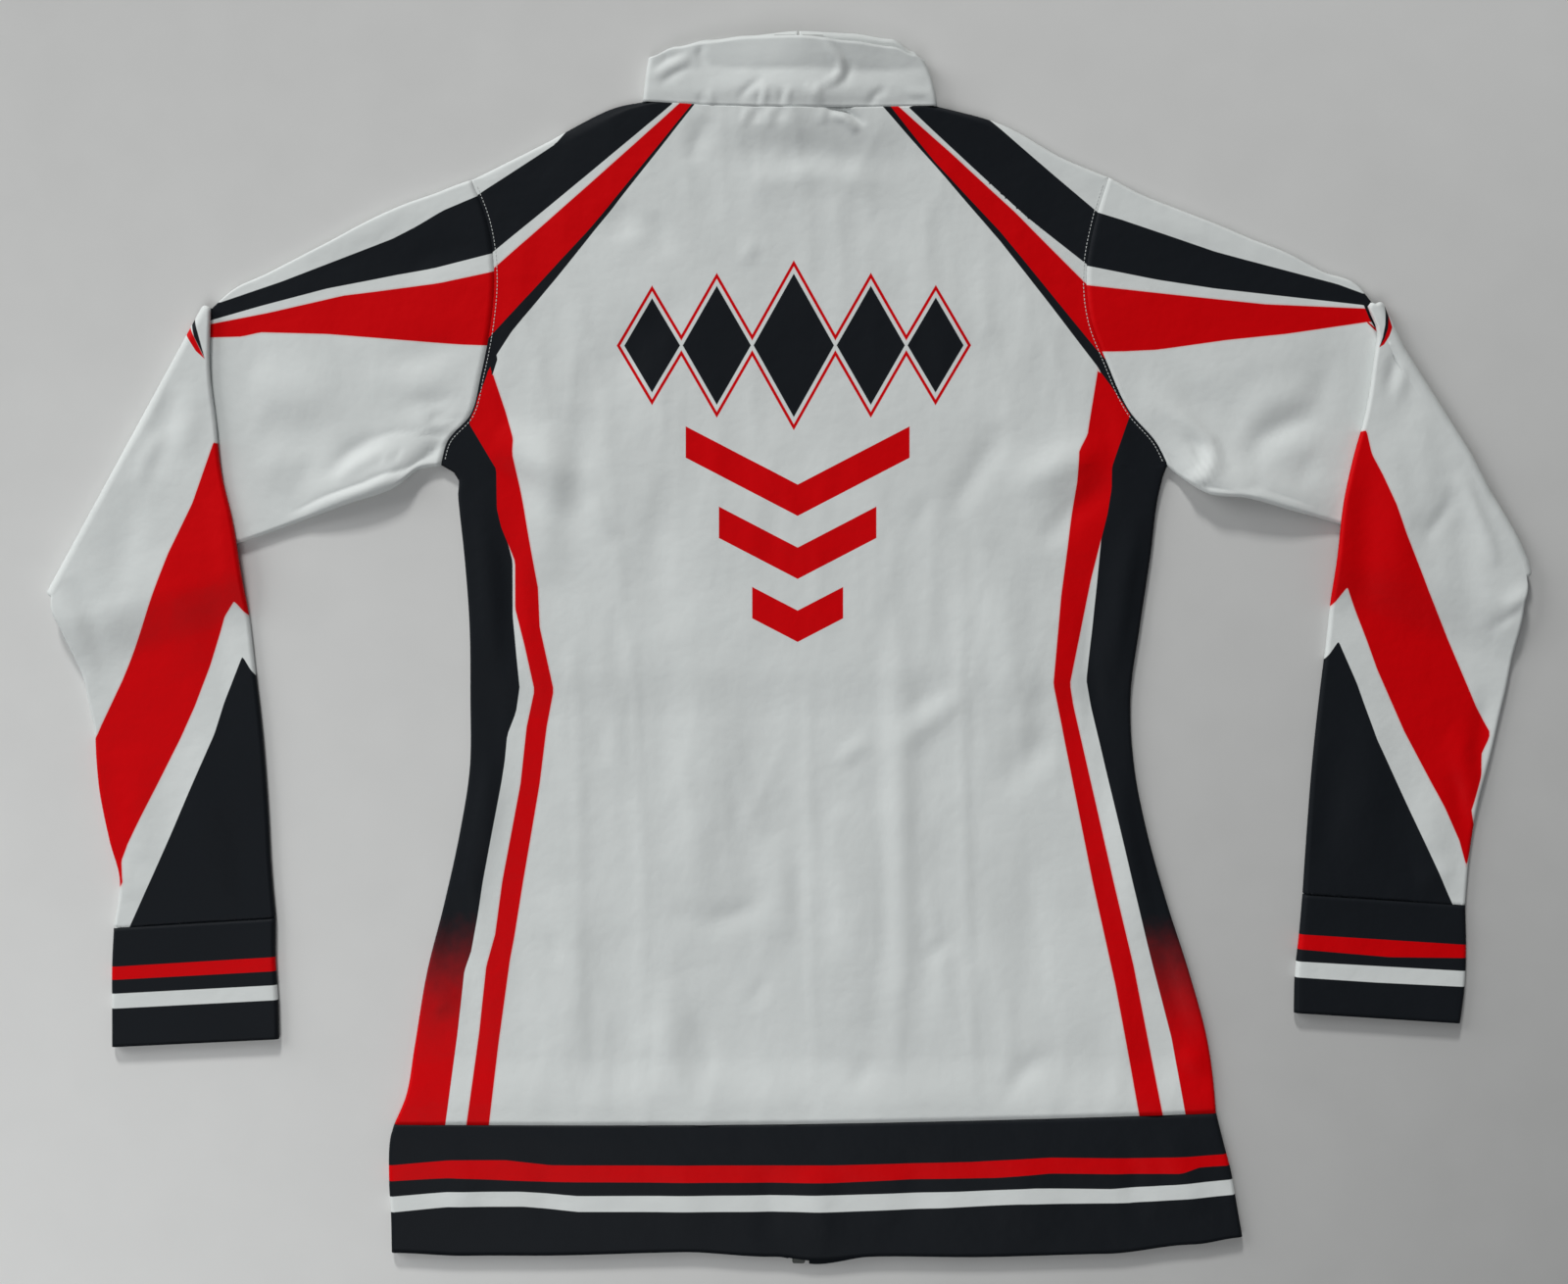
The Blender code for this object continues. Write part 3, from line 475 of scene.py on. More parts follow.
front_knit = knit("front_knit", WHITE, fade=FADE)
rows, rise, start = body_rows(FRONT_STEP)
widths = rows[:, 2:3] - rows[:, :1]
steps_in = np.linspace(0, 1, FRONT_COLUMNS)[1:]
turned = np.maximum(np.concatenate([FOLD_RISE, np.ones(len(steps_in))]), rise)
for side, name in ((-1, "front_left"), (1, "front_right")):
    open_edge = (-ZIP_EDGE - rows[:, :1] if side < 0 else rows[:, 2:3] - ZIP_EDGE) / widths
    share = np.concatenate([start, between(start[:, -1:], open_edge, steps_in)], axis=1)
    x, y = body_plan(rows, share if side < 0 else 1 - share, FRONT_NECK_DROP)
    low = CLOTH / 2 + THROAT_LIFT * throat(x, y)
    z = between((UPPER_BOTTOM + CLOTH / 2) / 2, low, turned)
    points = np.stack([x, y, z], axis=-1)
    front = cloth(name + "_knit", points, print_marks(BODY_PRINT, x, y), CLOTH, flip=side < 0)
    front.data.materials.append(front_knit)
    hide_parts(name)
    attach(front, "jacket")

# Back: one panel of the same knit from the neck to the hem seam, smooth and slightly satiny.
# It was stored folded, so fine press lines run down it, with soft slack folds between them.
# A row of lozenges and three chevrons are printed on it.
Fold = namedtuple("Fold", "height width path lean tip", defaults=(0, 2))
BACK_FOLDS = (
    Fold(0.72, 3, ((-97.5, 369.5), (-93, 321.5), (-91.5, 272.5), (-88.5, 221), (-90, 87)), 0, 1),
    Fold(0.56, 3, ((-127.5, 343.5), (-125.5, 301.5), (-124.5, 238.5), (-125.5, 169.5),
         (-121.5, 89.5)), 0.5, 1),
    Fold(0.8, 3.2, ((3.5, 330.5), (4.5, 307), (6, 198), (7.5, 89.5)), -0.6, 1),
    Fold(2.08, 9, ((52, 369.5), (54.5, 272.5), (55.5, 176), (51, 101)), -1),
    Fold(0.8, 3, ((94.5, 411), (93, 386), (93.5, 325), (96, 215.5), (98.5, 141),
         (101.5, 87)), 0.5, 1),
    Fold(0.48, 2.8, ((-107.5, 457.5), (-104.5, 414.5), (-101, 368.5), (-94.5, 321.5)), 0, 1),
    Fold(1.6, 8, ((55.5, 288.5), (67, 304), (84, 316), (95, 323.5)), 0.9),
    Fold(0.96, 5, ((21.5, 278.5), (27, 287.5), (41.5, 297)), 0.8),
    Fold(2.56, 16, ((-48.5, 347), (-52, 285.5), (-55.5, 228.5), (-51, 196))),
    Fold(-1.28, 7, ((-68, 204.5), (-62, 195), (-49.5, 190), (-29.5, 197.5), (-18.5, 213)), 0.3),
    Fold(-0.8, 4, ((-28.5, 140), (-18.5, 159.5)), 0.3),
    Fold(-0.96, 6, ((-61.5, 138.5), (-50, 116), (-47, 101)), 0.3),
    Fold(-0.96, 5, ((70.5, 166), (79.5, 176.5), (88, 185)), 0.6),
    Fold(-0.8, 4, ((-141.5, 184), (-139, 173.5), (-135.5, 166))),
    Fold(-0.8, 4, ((-113, 305), (-112.5, 291), (-111, 280)), 0.5),
    Fold(1.92, 9, ((-14, 241), (-10.5, 210), (-8.5, 179))),
    Fold(-1.28, 7, ((114, 85.5), (126, 104), (145, 116.5)), 0.5),
    Fold(-1.6, 10, ((113.5, 265.5), (129, 284.5), (146, 303.5)), 0.4),
    Fold(-0.96, 6, ((31.5, 94), (41.5, 113))),
    Fold(1.12, 5, ((-117, 438), (-115, 426.5), (-104, 410)), 0.6),
    Fold(-1.6, 8, ((84.5, 420), (94.5, 439.5), (107, 459), (117, 477)), 0.5),
    Fold(-0.8, 5, ((65, 414.5), (75, 434.5)), 0.4),
    Fold(-2.08, 10, ((-125, 484.5), (-127.5, 442.5), (-131, 402))),
    Fold(2.24, 11, ((-139.5, 476), (-143, 425.5), (-144.5, 381))),
    Fold(0.8, 4, ((-32.5, 566.5), (-26, 580)), 0.4),
    Fold(1.92, 14, ((-134.5, 213), (-132.5, 157), (-135, 89.5))),
    Fold(2.08, 15, ((29.5, 257.5), (32, 196), (28.5, 129))),
    Fold(-1.76, 12, ((129.5, 235), (134, 179), (137, 123))),
    Fold(1.92, 13, ((115, 403), (120.5, 347), (125, 291)), 0.2),
    Fold(-1.44, 12, ((-70, 448), (-82.5, 403), (-78, 353))),
    Fold(1.76, 12, ((-70, 157), (-75.5, 123), (-73.5, 87))),
    Fold(1.44, 8, ((-31, 610.5), (8.5, 617), (47.5, 612.5))),
    Fold(-1.28, 6, ((-62, 622.5), (-60, 633), (-52, 649.5)), 0.2),
    Fold(0.8, 2.4, ((-29.5, 654), (-31.5, 643))),
    Fold(-0.8, 2.4, ((-23.5, 654), (-24.5, 645))),
    Fold(0.8, 2.6, ((-16, 654), (-17.5, 642))),
    Fold(-0.64, 2.6, ((-10, 654), (-11, 646))),
    Fold(0.64, 2.8, ((14, 653.5), (13, 644))),
    Fold(-2.08, 2.4, ((15, 654), (26.5, 652), (38.5, 644))),
    Fold(1.6, 2.8, ((17.5, 650), (26.5, 647.5), (34, 640.5))),
    Fold(-1.6, 9, ((-104, 602), (-98, 579.5))),
    Fold(-1.12, 7, ((-84.5, 596.5), (-74.5, 570))),
    Fold(1.6, 12, ((42, 588), (75.5, 549), (109, 515))),
    Fold(-1.44, 13, ((-64.5, 549), (-98, 515), (-120.5, 487))),
    Fold(2.88, 11, ((-171, 472.5), (-143, 453.5), (-115, 437)), 0.4),
    Fold(-1.92, 8, ((-176.5, 453.5), (-151, 434), (-131.5, 411.5))),
    Fold(2.88, 11, ((176.5, 465), (151, 453.5), (120.5, 437)), -0.4),
    Fold(-1.92, 8, ((182, 442.5), (157, 425.5), (137, 403))),
    Fold(2.08, 8, ((-183, 437), (-178, 386.5), (-176.5, 336))),
    Fold(-1.28, 6, ((-167.5, 403), (-163, 358.5), (-165, 325))),
    Fold(2.24, 8, ((194.5, 425.5), (185.5, 381), (181, 330.5))),
    Fold(-1.6, 6, ((169.5, 381), (166.5, 336), (171, 291)), 0.3),
    Fold(2.56, 9, ((-176.5, 291), (-181, 241), (-190, 196))),
    Fold(-1.28, 5, ((-193, 210), (-201.5, 179), (-210, 157))),
    Fold(1.92, 7, ((-216.5, 157), (-207, 145.5), (-194.5, 151)), 0.4),
    Fold(2.56, 9, ((180, 280), (187.5, 229.5), (200, 179))),
    Fold(-1.44, 5, ((206.5, 179), (213.5, 151), (222.5, 123))),
    Fold(1.6, 6, ((221, 117.5), (230, 109), (237, 110)), 0.3),
)

LOZENGES = (  # how far aside of the middle, half the width and half the height
    (0, 23, 41),
    (44, 19.5, 34),
    (81, 16, 27),
)
LOZENGE_ROW = (-2.8, 519.5)
LOZENGE_GAP = 2.0
LOZENGE_RIM = 1.7
CHEVRON_MIDDLE = -0.6
CHEVRONS = ((422, 64), (386, 45), (350, 26))  # height of the tip, half the width
CHEVRON_SLOPE = 0.52
CHEVRON_BAR = 18.0  # its height


def swell(folds, x, y):
    """How far the folds of a table raise the cloth at each point.

    A fold of tip 1 is a sharp line and one of tip 2 is soft. Lean tips it to one side.
    """
    total = np.zeros(x.shape)
    for fold in folds:
        path = np.array(fold.path, float)
        at = distances(path)
        near = np.full(x.shape, 1e6)
        aside = np.zeros(x.shape)
        share = np.zeros(x.shape)
        for (x0, y0), (x1, y1), begin, end in zip(path, path[1:], at, at[1:]):
            run_x, run_y = (x1 - x0) / (end - begin), (y1 - y0) / (end - begin)
            along = (x - x0) * run_x + (y - y0) * run_y
            held = np.clip(along, 0, end - begin)
            off = np.hypot(x - x0 - held * run_x, y - y0 - held * run_y)
            closer = off < near
            near = np.where(closer, off, near)
            sign = np.sign((x - x0) * run_y - (y - y0) * run_x)
            aside = np.where(closer, off * sign, aside)
            share = np.where(closer, (begin + held) / at[-1], share)
        apart = aside / fold.width
        shape = (1 + fold.lean * apart) * np.exp(-(np.abs(apart) ** fold.tip))
        total += fold.height * shape * (4 * share * (1 - share)) ** (fold.tip / 2)
    return total


def ripple(x, y, ripples):
    """Fine slack ripples that run down the cloth, each set uneven in height and spacing."""
    total = np.zeros(x.shape)
    for spacing, height, wander, phase in ripples:
        line = x + wander * np.sin(y / 54 + phase) + 0.4 * wander * np.sin(y / 19 + 2 * phase)
        crest = (1 - np.abs(np.sin(pi * (line / spacing) + phase))) ** 2
        total += height * crest * (0.5 + 0.5 * np.sin(y / 31 + x / 43 + 3 * phase))
    return total


def back_artwork(colour, place):
    """A row of black lozenges in a red rim, and red chevrons that narrow downwards."""
    across, up = place.coordinate(0), place.coordinate(1)
    off_middle = abs(across - LOZENGE_ROW[0])
    off_row = abs(up - LOZENGE_ROW[1])
    outside = None
    for aside, half_width, half_height in LOZENGES:
        scale = half_width * half_height / np.hypot(half_width, half_height)
        reach = abs(off_middle - aside) * (1 / half_width) + off_row * (1 / half_height)
        off = reach * scale - scale
        outside = off if outside is None else off.maths("MINIMUM", outside, off)
    rim = LOZENGE_GAP + LOZENGE_RIM
    for edge, fill_colour in ((rim, RED), (LOZENGE_GAP, WHITE), (0, BLACK)):
        colour = outside.step(edge + INK_EDGE, edge - INK_EDGE).mix(colour, fill_colour)
    aside = abs(across - CHEVRON_MIDDLE)
    for tip, half_width in CHEVRONS:
        off_bar = abs(up - aside * CHEVRON_SLOPE - (tip + CHEVRON_BAR / 2)) - CHEVRON_BAR / 2
        off = off_bar.maths("MAXIMUM", off_bar, aside - half_width)
        colour = off.step(INK_EDGE, -INK_EDGE).mix(colour, RED)
    return colour


BACK_RIPPLES = (  # spacing, height, wander and phase of each set
    (21, 0.28, 5, 0.4),
    (33, 0.42, 9, 2.3),
    (52, 0.6, 14, 4.1),
)
PRESS_LINES = (  # from x0, y0 up to x1, y1, and how deep
    (-90, 84, -93, 335, -0.9),
    (-92, 310, -107, 410, -0.6),
    (-122.5, 84, -126, 345, -0.5),
    (7, 84, 4, 335, -0.8),
    (97, 84, 93.5, 340, -0.6),
    (93.5, 300, 90, 435, -0.5),
)
NECK_FOLDS = (
    Fold(5.2, 84, ((-150, 680), (0, 693.5), (150, 680))),
    Fold(1.6, 14, ((-52, 652), (-25, 648.5), (8.5, 649.5), (47.5, 648.5), (72, 654))),
    Fold(-1.2, 11, ((-55.5, 635), (-33, 628.5), (-8.5, 627), (19.5, 620.5), (47.5, 624),
         (73, 635))),
    Fold(-0.6, 7, ((-37.5, 631.5), (-8.5, 634), (26.5, 627), (51, 633))),
)
CLOTH_CLEAR = 0.2  # between the two layers where a fold dips
TAPE_CLEAR = 1.3  # more over the zip's tapes
TAPE_SPAN = 17  # half the width over which that holds
SEAM_CALM = 12.0  # over which the folds of the back die away at its armhole seams
ROW_STEP = 3.2  # between the rows of points of the back and the sleeves
BACK_COLUMNS = 134


def over_lower_layer(x, y, thickness, raised):
    """Heights of the middle of the upper layer, with its folds raised by so much."""
    lift = COLLAR_LIFT * throat(x, y)
    lowest = CLOTH_CLEAR + thickness - UPPER_BOTTOM + TAPE_CLEAR * np.exp(-((x / TAPE_SPAN) ** 4))
    return UPPER_BOTTOM + thickness / 2 + lift + np.maximum(raised, lowest)


def back_height(x, y, inward):
    """Heights of the middle of the back. Its folds die away at the armhole seams."""
    folds = swell(BACK_FOLDS + NECK_FOLDS, x, y) + ripple(x, y, BACK_RIPPLES)
    return over_lower_layer(x, y, CLOTH, folds * eased(inward / SEAM_CALM))


back_knit = knit("back_knit", WHITE, fade=FADE, artwork=back_artwork, pressed=PRESS_LINES)
rows, rise, start = body_rows(ROW_STEP)
inner = between(start[:, -1:], 1 - start[:, -1:], np.linspace(0, 1, BACK_COLUMNS)[1:-1])
share = np.concatenate([start, inner, 1 - start[:, ::-1]], axis=1)
turned = np.concatenate([FOLD_RISE, np.ones(inner.shape[1]), FOLD_RISE[::-1]])
x, y = body_plan(rows, share, NECK_DIP)
top = back_height(x, y, np.minimum(share, 1 - share) * (rows[:, 2:3] - rows[:, :1]))
z = between(UPPER_BOTTOM / 2 + CLOTH * 0.75, top, np.maximum(turned, rise))
points = np.stack([x, y, z], axis=-1)
back = cloth("back_panel", points, print_marks(BODY_PRINT, x, y), CLOTH)
back.data.materials.append(back_knit)
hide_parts("back")
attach(back, "jacket")

# Sleeves: each one piece of the same knit, sewn to a tube, set into the armhole and laid
# flat. Below the elbow each is folded over, so that its front side shows. Where the cloth
# turns over at the elbow it is pulled into a sharp corner.
Chord = namedtuple("Chord", "over_x over_y under_x under_y")
LEFT_UPPER_ARM = (
    Chord(-196.5, 611, -217.5, 449),
    Chord(-206, 607.5, -228, 440),
    Chord(-227, 600, -260, 428),
    Chord(-246.5, 591, -288.5, 418),
    Chord(-266, 580.5, -317, 408),
    Chord(-285.5, 570.5, -345, 400),
    Chord(-305, 560.5, -373, 393),
    Chord(-322, 552.5, -401, 385.5),
)
LEFT_FOLD = Chord(-340, 543, -430, 377.5)
LEFT_BULGE = ((0, 1), (0, 0))
LEFT_LIFTS = (Fold(5, 15, ((-190, 464), (-230, 447), (-284, 424))),)
LEFT_FOREARM = (
    Chord(-336, 506, -425.5, 367),
    Chord(-332.5, 476, -420.5, 356.5),
    Chord(-329.5, 448, -415.5, 344.5),
    Chord(-323, 420, -409.5, 329.5),
    Chord(-318.5, 392, -406, 313.5),
    Chord(-314.5, 364, -403, 299.5),
    Chord(-311, 333, -402, 283),
    Chord(-307.5, 302.5, -400.5, 266),
    Chord(-304, 257, -394.5, 236),
    Chord(-302, 220, -388.5, 212),
    Chord(-299.5, 192, -392, 186.5),
)
RIGHT_UPPER_ARM = (
    Chord(196, 606, 234, 434.5),
    Chord(217.5, 597.5, 255, 432),
    Chord(238, 589.5, 281.5, 425),
    Chord(258, 581, 308.5, 418),
    Chord(278.5, 573, 336, 410),
    Chord(299.5, 562, 363, 402),
    Chord(317.5, 555.5, 390.5, 394),
)
RIGHT_FOLD = Chord(333, 545, 416, 387)
RIGHT_BULGE = (  # shares of the way down the fold, and how far it stands out there
    (0, 0.17, 0.4, 0.57, 0.7, 0.8, 0.88, 0.95, 1),
    (0, -1.2, 2.2, 4.6, 4.4, 5.6, 6.0, 5.2, 3.2),
)
RIGHT_LIFTS = (Fold(7, 17, ((180, 452), (232, 442), (305, 418))),)
RIGHT_FLAP = (  # the over side stands out beyond the fold's end
    Chord(325.5, 543.5, 411.8, 382.5),
    Chord(330, 529, 412.8, 379.5),
)
RIGHT_FOREARM = (
    Chord(328, 510, 413.6, 376),
    Chord(323.5, 481.5, 413.3, 370),
    Chord(316.5, 456, 412.5, 362),
    Chord(311, 431, 411, 353),
    Chord(308, 406, 408, 339),
    Chord(305, 378, 405, 323.5),
    Chord(302, 350, 401, 306.5),
    Chord(298.5, 322, 396.5, 286.5),
    Chord(294, 280, 388.5, 256),
    Chord(291, 242, 384, 229),
    Chord(288.5, 205.5, 381.5, 199.5),
)
LEFT_UPPER_FOLDS = (
    Fold(-1.56, 2, ((-193, 470.5), (-209, 460), (-219.5, 451.5), (-227, 447.5), (-237.5, 445.5),
         (-248, 440.5), (-269.5, 433.5), (-288.5, 424.5)), 0, 1),
    Fold(1.44, 3.4, ((-203.5, 457), (-216.5, 449), (-225.5, 443), (-234.5, 441.5), (-248, 436),
         (-271.5, 428), (-294, 418))),
    Fold(-1.08, 1.5, ((-248, 465.5), (-232.5, 470), (-221, 470), (-208, 468.5),
         (-195.5, 465)), 0, 1),
    Fold(-1.8, 5, ((-268, 443.5), (-263.5, 450), (-257.5, 457.5), (-248, 463), (-237, 467))),
    Fold(1.56, 4.5, ((-266, 441.5), (-257, 448), (-239.5, 458.5), (-228, 463.5))),
    Fold(0.84, 1.8, ((-234.5, 463.5), (-233, 454.5), (-231.5, 445))),
    Fold(-0.96, 1.8, ((-232, 463.5), (-230, 454.5), (-228.5, 446.5))),
    Fold(-1.44, 3.6, ((-215.5, 452.5), (-210, 458.5), (-206, 465)), 0.3),
    Fold(-1.32, 2.4, ((-208.5, 474), (-204.5, 479.5), (-199.5, 485))),
    Fold(1.08, 2.6, ((-205, 470.5), (-200.5, 476), (-197, 484))),
    Fold(-1.32, 2.2, ((-200, 481.5), (-196.5, 476), (-193, 469.5))),
    Fold(1.2, 5, ((-221, 484), (-212, 475), (-205.5, 470.5))),
    Fold(-1.08, 4, ((-215.5, 493), (-208, 487), (-197.5, 490.5))),
    Fold(1.56, 14, ((-314, 504), (-288.5, 493), (-260.5, 497.5))),
    Fold(-1.32, 12, ((-309.5, 476), (-285, 467), (-266, 476))),
    Fold(1.08, 11, ((-312, 448), (-297.5, 453.5), (-281.5, 449))),
    Fold(1.2, 10, ((-193, 504), (-221, 497.5), (-248, 502))),
    Fold(-0.96, 9, ((-188.5, 521), (-215.5, 513), (-240, 509.5))),
    Fold(1.2, 9, ((-288.5, 570), (-253.5, 583.5), (-216.5, 600.5))),
    Fold(-0.84, 8, ((-183, 577), (-210, 570), (-232.5, 560))),
)
LEFT_LOWER_FOLDS = (
    Fold(1.23, 5, ((-378.5, 439), (-371.5, 454.5), (-360.5, 474)), 0.5),
    Fold(-1.33, 7, ((-371.5, 444.5), (-364.5, 466), (-355.5, 494)), 0.3),
    Fold(1.14, 8, ((-352, 453.5), (-346.5, 476), (-344.5, 498.5))),
    Fold(-1.14, 10, ((-391.5, 369.5), (-384.5, 403), (-376.5, 439))),
    Fold(1.23, 7, ((-423, 377.5), (-412.5, 363), (-405, 342.5), (-400.5, 318)), 0.3),
    Fold(-1.04, 7, ((-416, 387.5), (-405, 368.5), (-396, 342.5))),
    Fold(1.23, 13, ((-367, 403), (-353.5, 369.5), (-346.5, 330.5))),
    Fold(-0.95, 10, ((-332, 381), (-330, 336), (-326.5, 291))),
    Fold(1.23, 12, ((-383.5, 291), (-378, 257.5), (-372.5, 224))),
    Fold(-0.95, 9, ((-397, 280), (-390.5, 252), (-384.5, 224))),
    Fold(1.14, 12, ((-344.5, 291), (-341, 241), (-337.5, 196))),
    Fold(-0.85, 8, ((-322, 257.5), (-318.5, 218.5), (-316.5, 193))),
    Fold(0.95, 7, ((-390.5, 224), (-381.5, 213), (-369, 210)), 0.4),
    Fold(0.85, 6, ((-330, 437), (-326.5, 403), (-322, 369.5))),
)
RIGHT_UPPER_FOLDS = (
    Fold(2.6, 2.4, ((232.5, 458), (233, 452), (230, 444.5), (223.5, 438.5), (219, 437))),
    Fold(2.2, 3.6, ((210, 488.5), (218, 479), (234.5, 465), (237.5, 451.5), (230.5, 437))),
    Fold(-1.6, 2.2, ((222.5, 468), (229, 460.5), (230, 452.5), (225.5, 444.5))),
    Fold(-1.5, 1.6, ((211, 458), (213, 453.5), (218, 443), (222.5, 438)), 0, 1),
    Fold(-0.8, 1.4, ((223.5, 439), (238, 437.5), (253.5, 433)), 0, 1),
    Fold(-0.7, 1.6, ((253.5, 433.5), (257, 437), (266, 442.5)), 0, 1),
    Fold(0.9, 3, ((224.5, 434.5), (243.5, 433.5), (266, 432.5), (297, 423.5))),
    Fold(-0.8, 2, ((262.5, 437), (275, 433), (299.5, 425.5)), 0, 1),
    Fold(-2, 7, ((253.5, 457), (259, 460), (265.5, 468.5), (282, 477.5), (297, 481.5)), 0.4),
    Fold(1.7, 10, ((250.5, 476), (271.5, 488.5), (297, 497.5))),
    Fold(1.2, 8, ((265, 451.5), (283, 460.5), (300.5, 463.5))),
    Fold(-0.8, 5, ((285, 437), (292, 449), (299.5, 458))),
    Fold(-1, 10, ((213.5, 493), (238, 482.5), (256, 470.5))),
    Fold(1.2, 10, ((193, 495.5), (215.5, 477), (228, 468))),
    Fold(1, 9, ((182, 600.5), (215.5, 587), (253.5, 572.5))),
    Fold(1, 12, ((221, 504), (260.5, 508.5), (299.5, 517.5))),
    Fold(-0.9, 10, ((311, 515), (300.5, 493), (297.5, 470.5))),
)
RIGHT_LOWER_FOLDS = (
    Fold(1.43, 4, ((374.5, 448), (381.5, 434.5), (393, 408), (398, 392)), 0.4),
    Fold(-0.99, 4, ((355.5, 405.5), (360.5, 414.5), (369, 426.5), (372.5, 437))),
    Fold(-1.1, 4, ((345.5, 521), (339, 508), (334, 488.5))),
    Fold(1.1, 4, ((349, 519.5), (344.5, 504), (341, 487))),
    Fold(-0.77, 3.4, ((392.5, 354), (397.5, 359.5), (406, 365), (415, 374))),
    Fold(-1.32, 9, ((372.5, 437), (380, 397.5), (383.5, 358.5))),
    Fold(1.54, 6, ((401, 368.5), (409.5, 375), (417, 382)), 0.4),
    Fold(-1.1, 6, ((395, 325), (390.5, 302.5), (387, 274.5))),
    Fold(-1.43, 9, ((323.5, 449), (323, 403), (325.5, 358.5)), 0.3),
    Fold(1.54, 10, ((337.5, 470.5), (341, 425.5), (344.5, 381))),
    Fold(1.32, 7, ((371.5, 298), (380, 291), (383.5, 269), (384.5, 247.5)), 0.5),
    Fold(-1.1, 5, ((374.5, 274.5), (378, 257.5), (381.5, 243))),
    Fold(1.32, 9, ((350, 481.5), (356.5, 448), (355.5, 414.5))),
    Fold(1.32, 12, ((327.5, 313.5), (325.5, 263), (323, 218.5))),
    Fold(-0.99, 9, ((305, 291), (303, 252), (300.5, 218.5))),
    Fold(1.21, 11, ((361, 269), (362.5, 235), (364.5, 213))),
    Fold(-0.99, 8, ((339, 515), (345.5, 493), (350, 476))),
    Fold(0.99, 7, ((374.5, 224), (367, 215), (352, 213)), 0.3),
)

# The sleeves' print, above the elbow and on the folded-over ends.
LEFT_UPPER_PRINT = {
    "black": ((
        (-176.5, 609.5), (-183.5, 605), (-203.5, 596.5), (-218.5, 587.5), (-232, 580.5),
        (-243.5, 576), (-295.5, 556), (-339.5, 541), (-350, 538.5), (-350, 531.5), (-340.5, 532.5),
        (-307.5, 542), (-269.5, 552), (-243.5, 557), (-228.5, 560), (-209, 563.5), (-175.5, 572),
        (-169.5, 573.5),
    ),),
    "red": ((
        (-169.5, 563.5), (-175.5, 561.5), (-206, 555), (-243.5, 550), (-260, 548), (-303.5, 538),
        (-339.5, 531), (-350, 529), (-350, 523.5), (-338, 524), (-318.5, 524.5), (-307.5, 527),
        (-269.5, 526), (-231.5, 523), (-192.5, 520), (-180, 519.5), (-171, 519.5),
    ),),
}
RIGHT_UPPER_PRINT = {
    "black": ((
        (164, 597.5), (171, 595.5), (184, 591.5), (238, 573), (308, 554.5), (323, 549),
        (341.5, 543), (341.5, 536.5), (323, 542.5), (238, 552), (205, 557), (165, 565),
        (159.5, 565.5),
    ),),
    "red": ((
        (158.5, 555), (164.5, 554), (205, 549.5), (238, 546), (267, 543), (325, 540.5),
        (341.5, 538.5), (341.5, 532), (326, 533), (278.5, 526), (244.5, 522.5), (205, 517),
        (184, 516), (173, 516), (159.5, 516.5),
    ),),
}
LEFT_LOWER_PRINT = {
    "black": ((
        (-318, 342), (-328.5, 315.5), (-334, 297.5), (-359, 239.5), (-382.5, 187), (-386.5, 178),
        (-288.5, 182), (-288.5, 269), (-302.5, 322), (-311, 330.5),
    ),),
    "red": ((
        (-333, 463.5), (-345, 429), (-358.5, 401), (-383, 336.5), (-386.5, 328), (-398.5, 302.5),
        (-402.5, 293), (-409.5, 290), (-409.5, 262), (-401.5, 234), (-393.5, 217.5), (-387.5, 210),
        (-386, 212), (-387, 225), (-383.5, 234.5), (-353, 295.5), (-345, 313.5), (-336.5, 336.5),
        (-328, 364.5), (-322, 373.5), (-309.5, 358.5), (-309.5, 414.5), (-324, 461.5),
    ),),
}
RIGHT_LOWER_PRINT = {
    "black": ((
        (308.5, 350.5), (319, 326.5), (330.5, 294), (362.5, 225), (374, 199.5), (379, 189.5),
        (277, 196), (281.5, 269), (290, 330.5), (300.5, 339),
    ),),
    "red": ((
        (323, 470.5), (326, 457), (332.3, 445), (339.6, 428.5), (345.5, 411.5), (358.5, 379.5),
        (368, 358.5), (387, 313.5), (395, 299), (395, 295.5), (390.5, 286), (390, 273.5),
        (384.5, 254), (386, 243), (381.5, 222), (377.5, 236.5), (369, 255.5), (346, 299),
        (330.5, 334.5), (325, 350), (313, 381.5), (302.5, 367.5), (294, 372), (302.5, 437),
        (315.5, 467.5),
    ),),
}
ON_ARM, FOLDED_OVER = False, True
ELBOW_PRINT_AND_PAINTED_SHADOW = (  # slivers of the stripes by the folds, and one black patch of painted shadow under the right flap: colour, layer, and corners clockwise
    (RED, FOLDED_OVER, ((-347, 529.8), (-338, 511), (-343, 515.5), (-349.5, 525.8))),
    (BLACK, FOLDED_OVER, ((-344.4, 534.8), (-338, 511.4), (-344, 523.5), (-346.2, 532))),
    (
        RED,
        FOLDED_OVER,
        ((334.5, 542), (336.5, 534.5), (338, 529.5), (336, 524), (333, 519.3), (330.4, 517.6)),
    ),
    (
        BLACK,
        FOLDED_OVER,
        ((334.3, 542.5), (336, 535.8), (335.2, 528.3), (333.2, 522.5), (330.4, 517.9)),
    ),
    (
        WHITE,
        FOLDED_OVER,
        ((333.8, 543), (334, 538), (333.6, 530.3), (332.2, 523.2), (330.6, 518.6), (330, 527.5)),
    ),
    # Painted shadow: this black patch on the arm stands for the shade under the right flap. It is
    # not print.
    (BLACK, ON_ARM, ((322.5, 543.5), (333, 538), (333, 527.6), (330, 528.4), (326, 535.2))),
    (RED, ON_ARM, ((325, 533.6), (333, 526.4), (333, 524.8), (325, 532.2))),
)
ELBOW_HEIGHTS = (6.2, 7.0)  # above them lies the folded-over end, and below them the arm
LAP = 0.4  # air between the arm and the end that lies on it
REST = 0.12  # air under that end, once it has dropped to the table
ARMHOLE_CLEARANCE = 0.25 * SEAM
ARMHOLE_REACH = 30.0  # over which a sleeve's rows straighten out from the armhole's curve
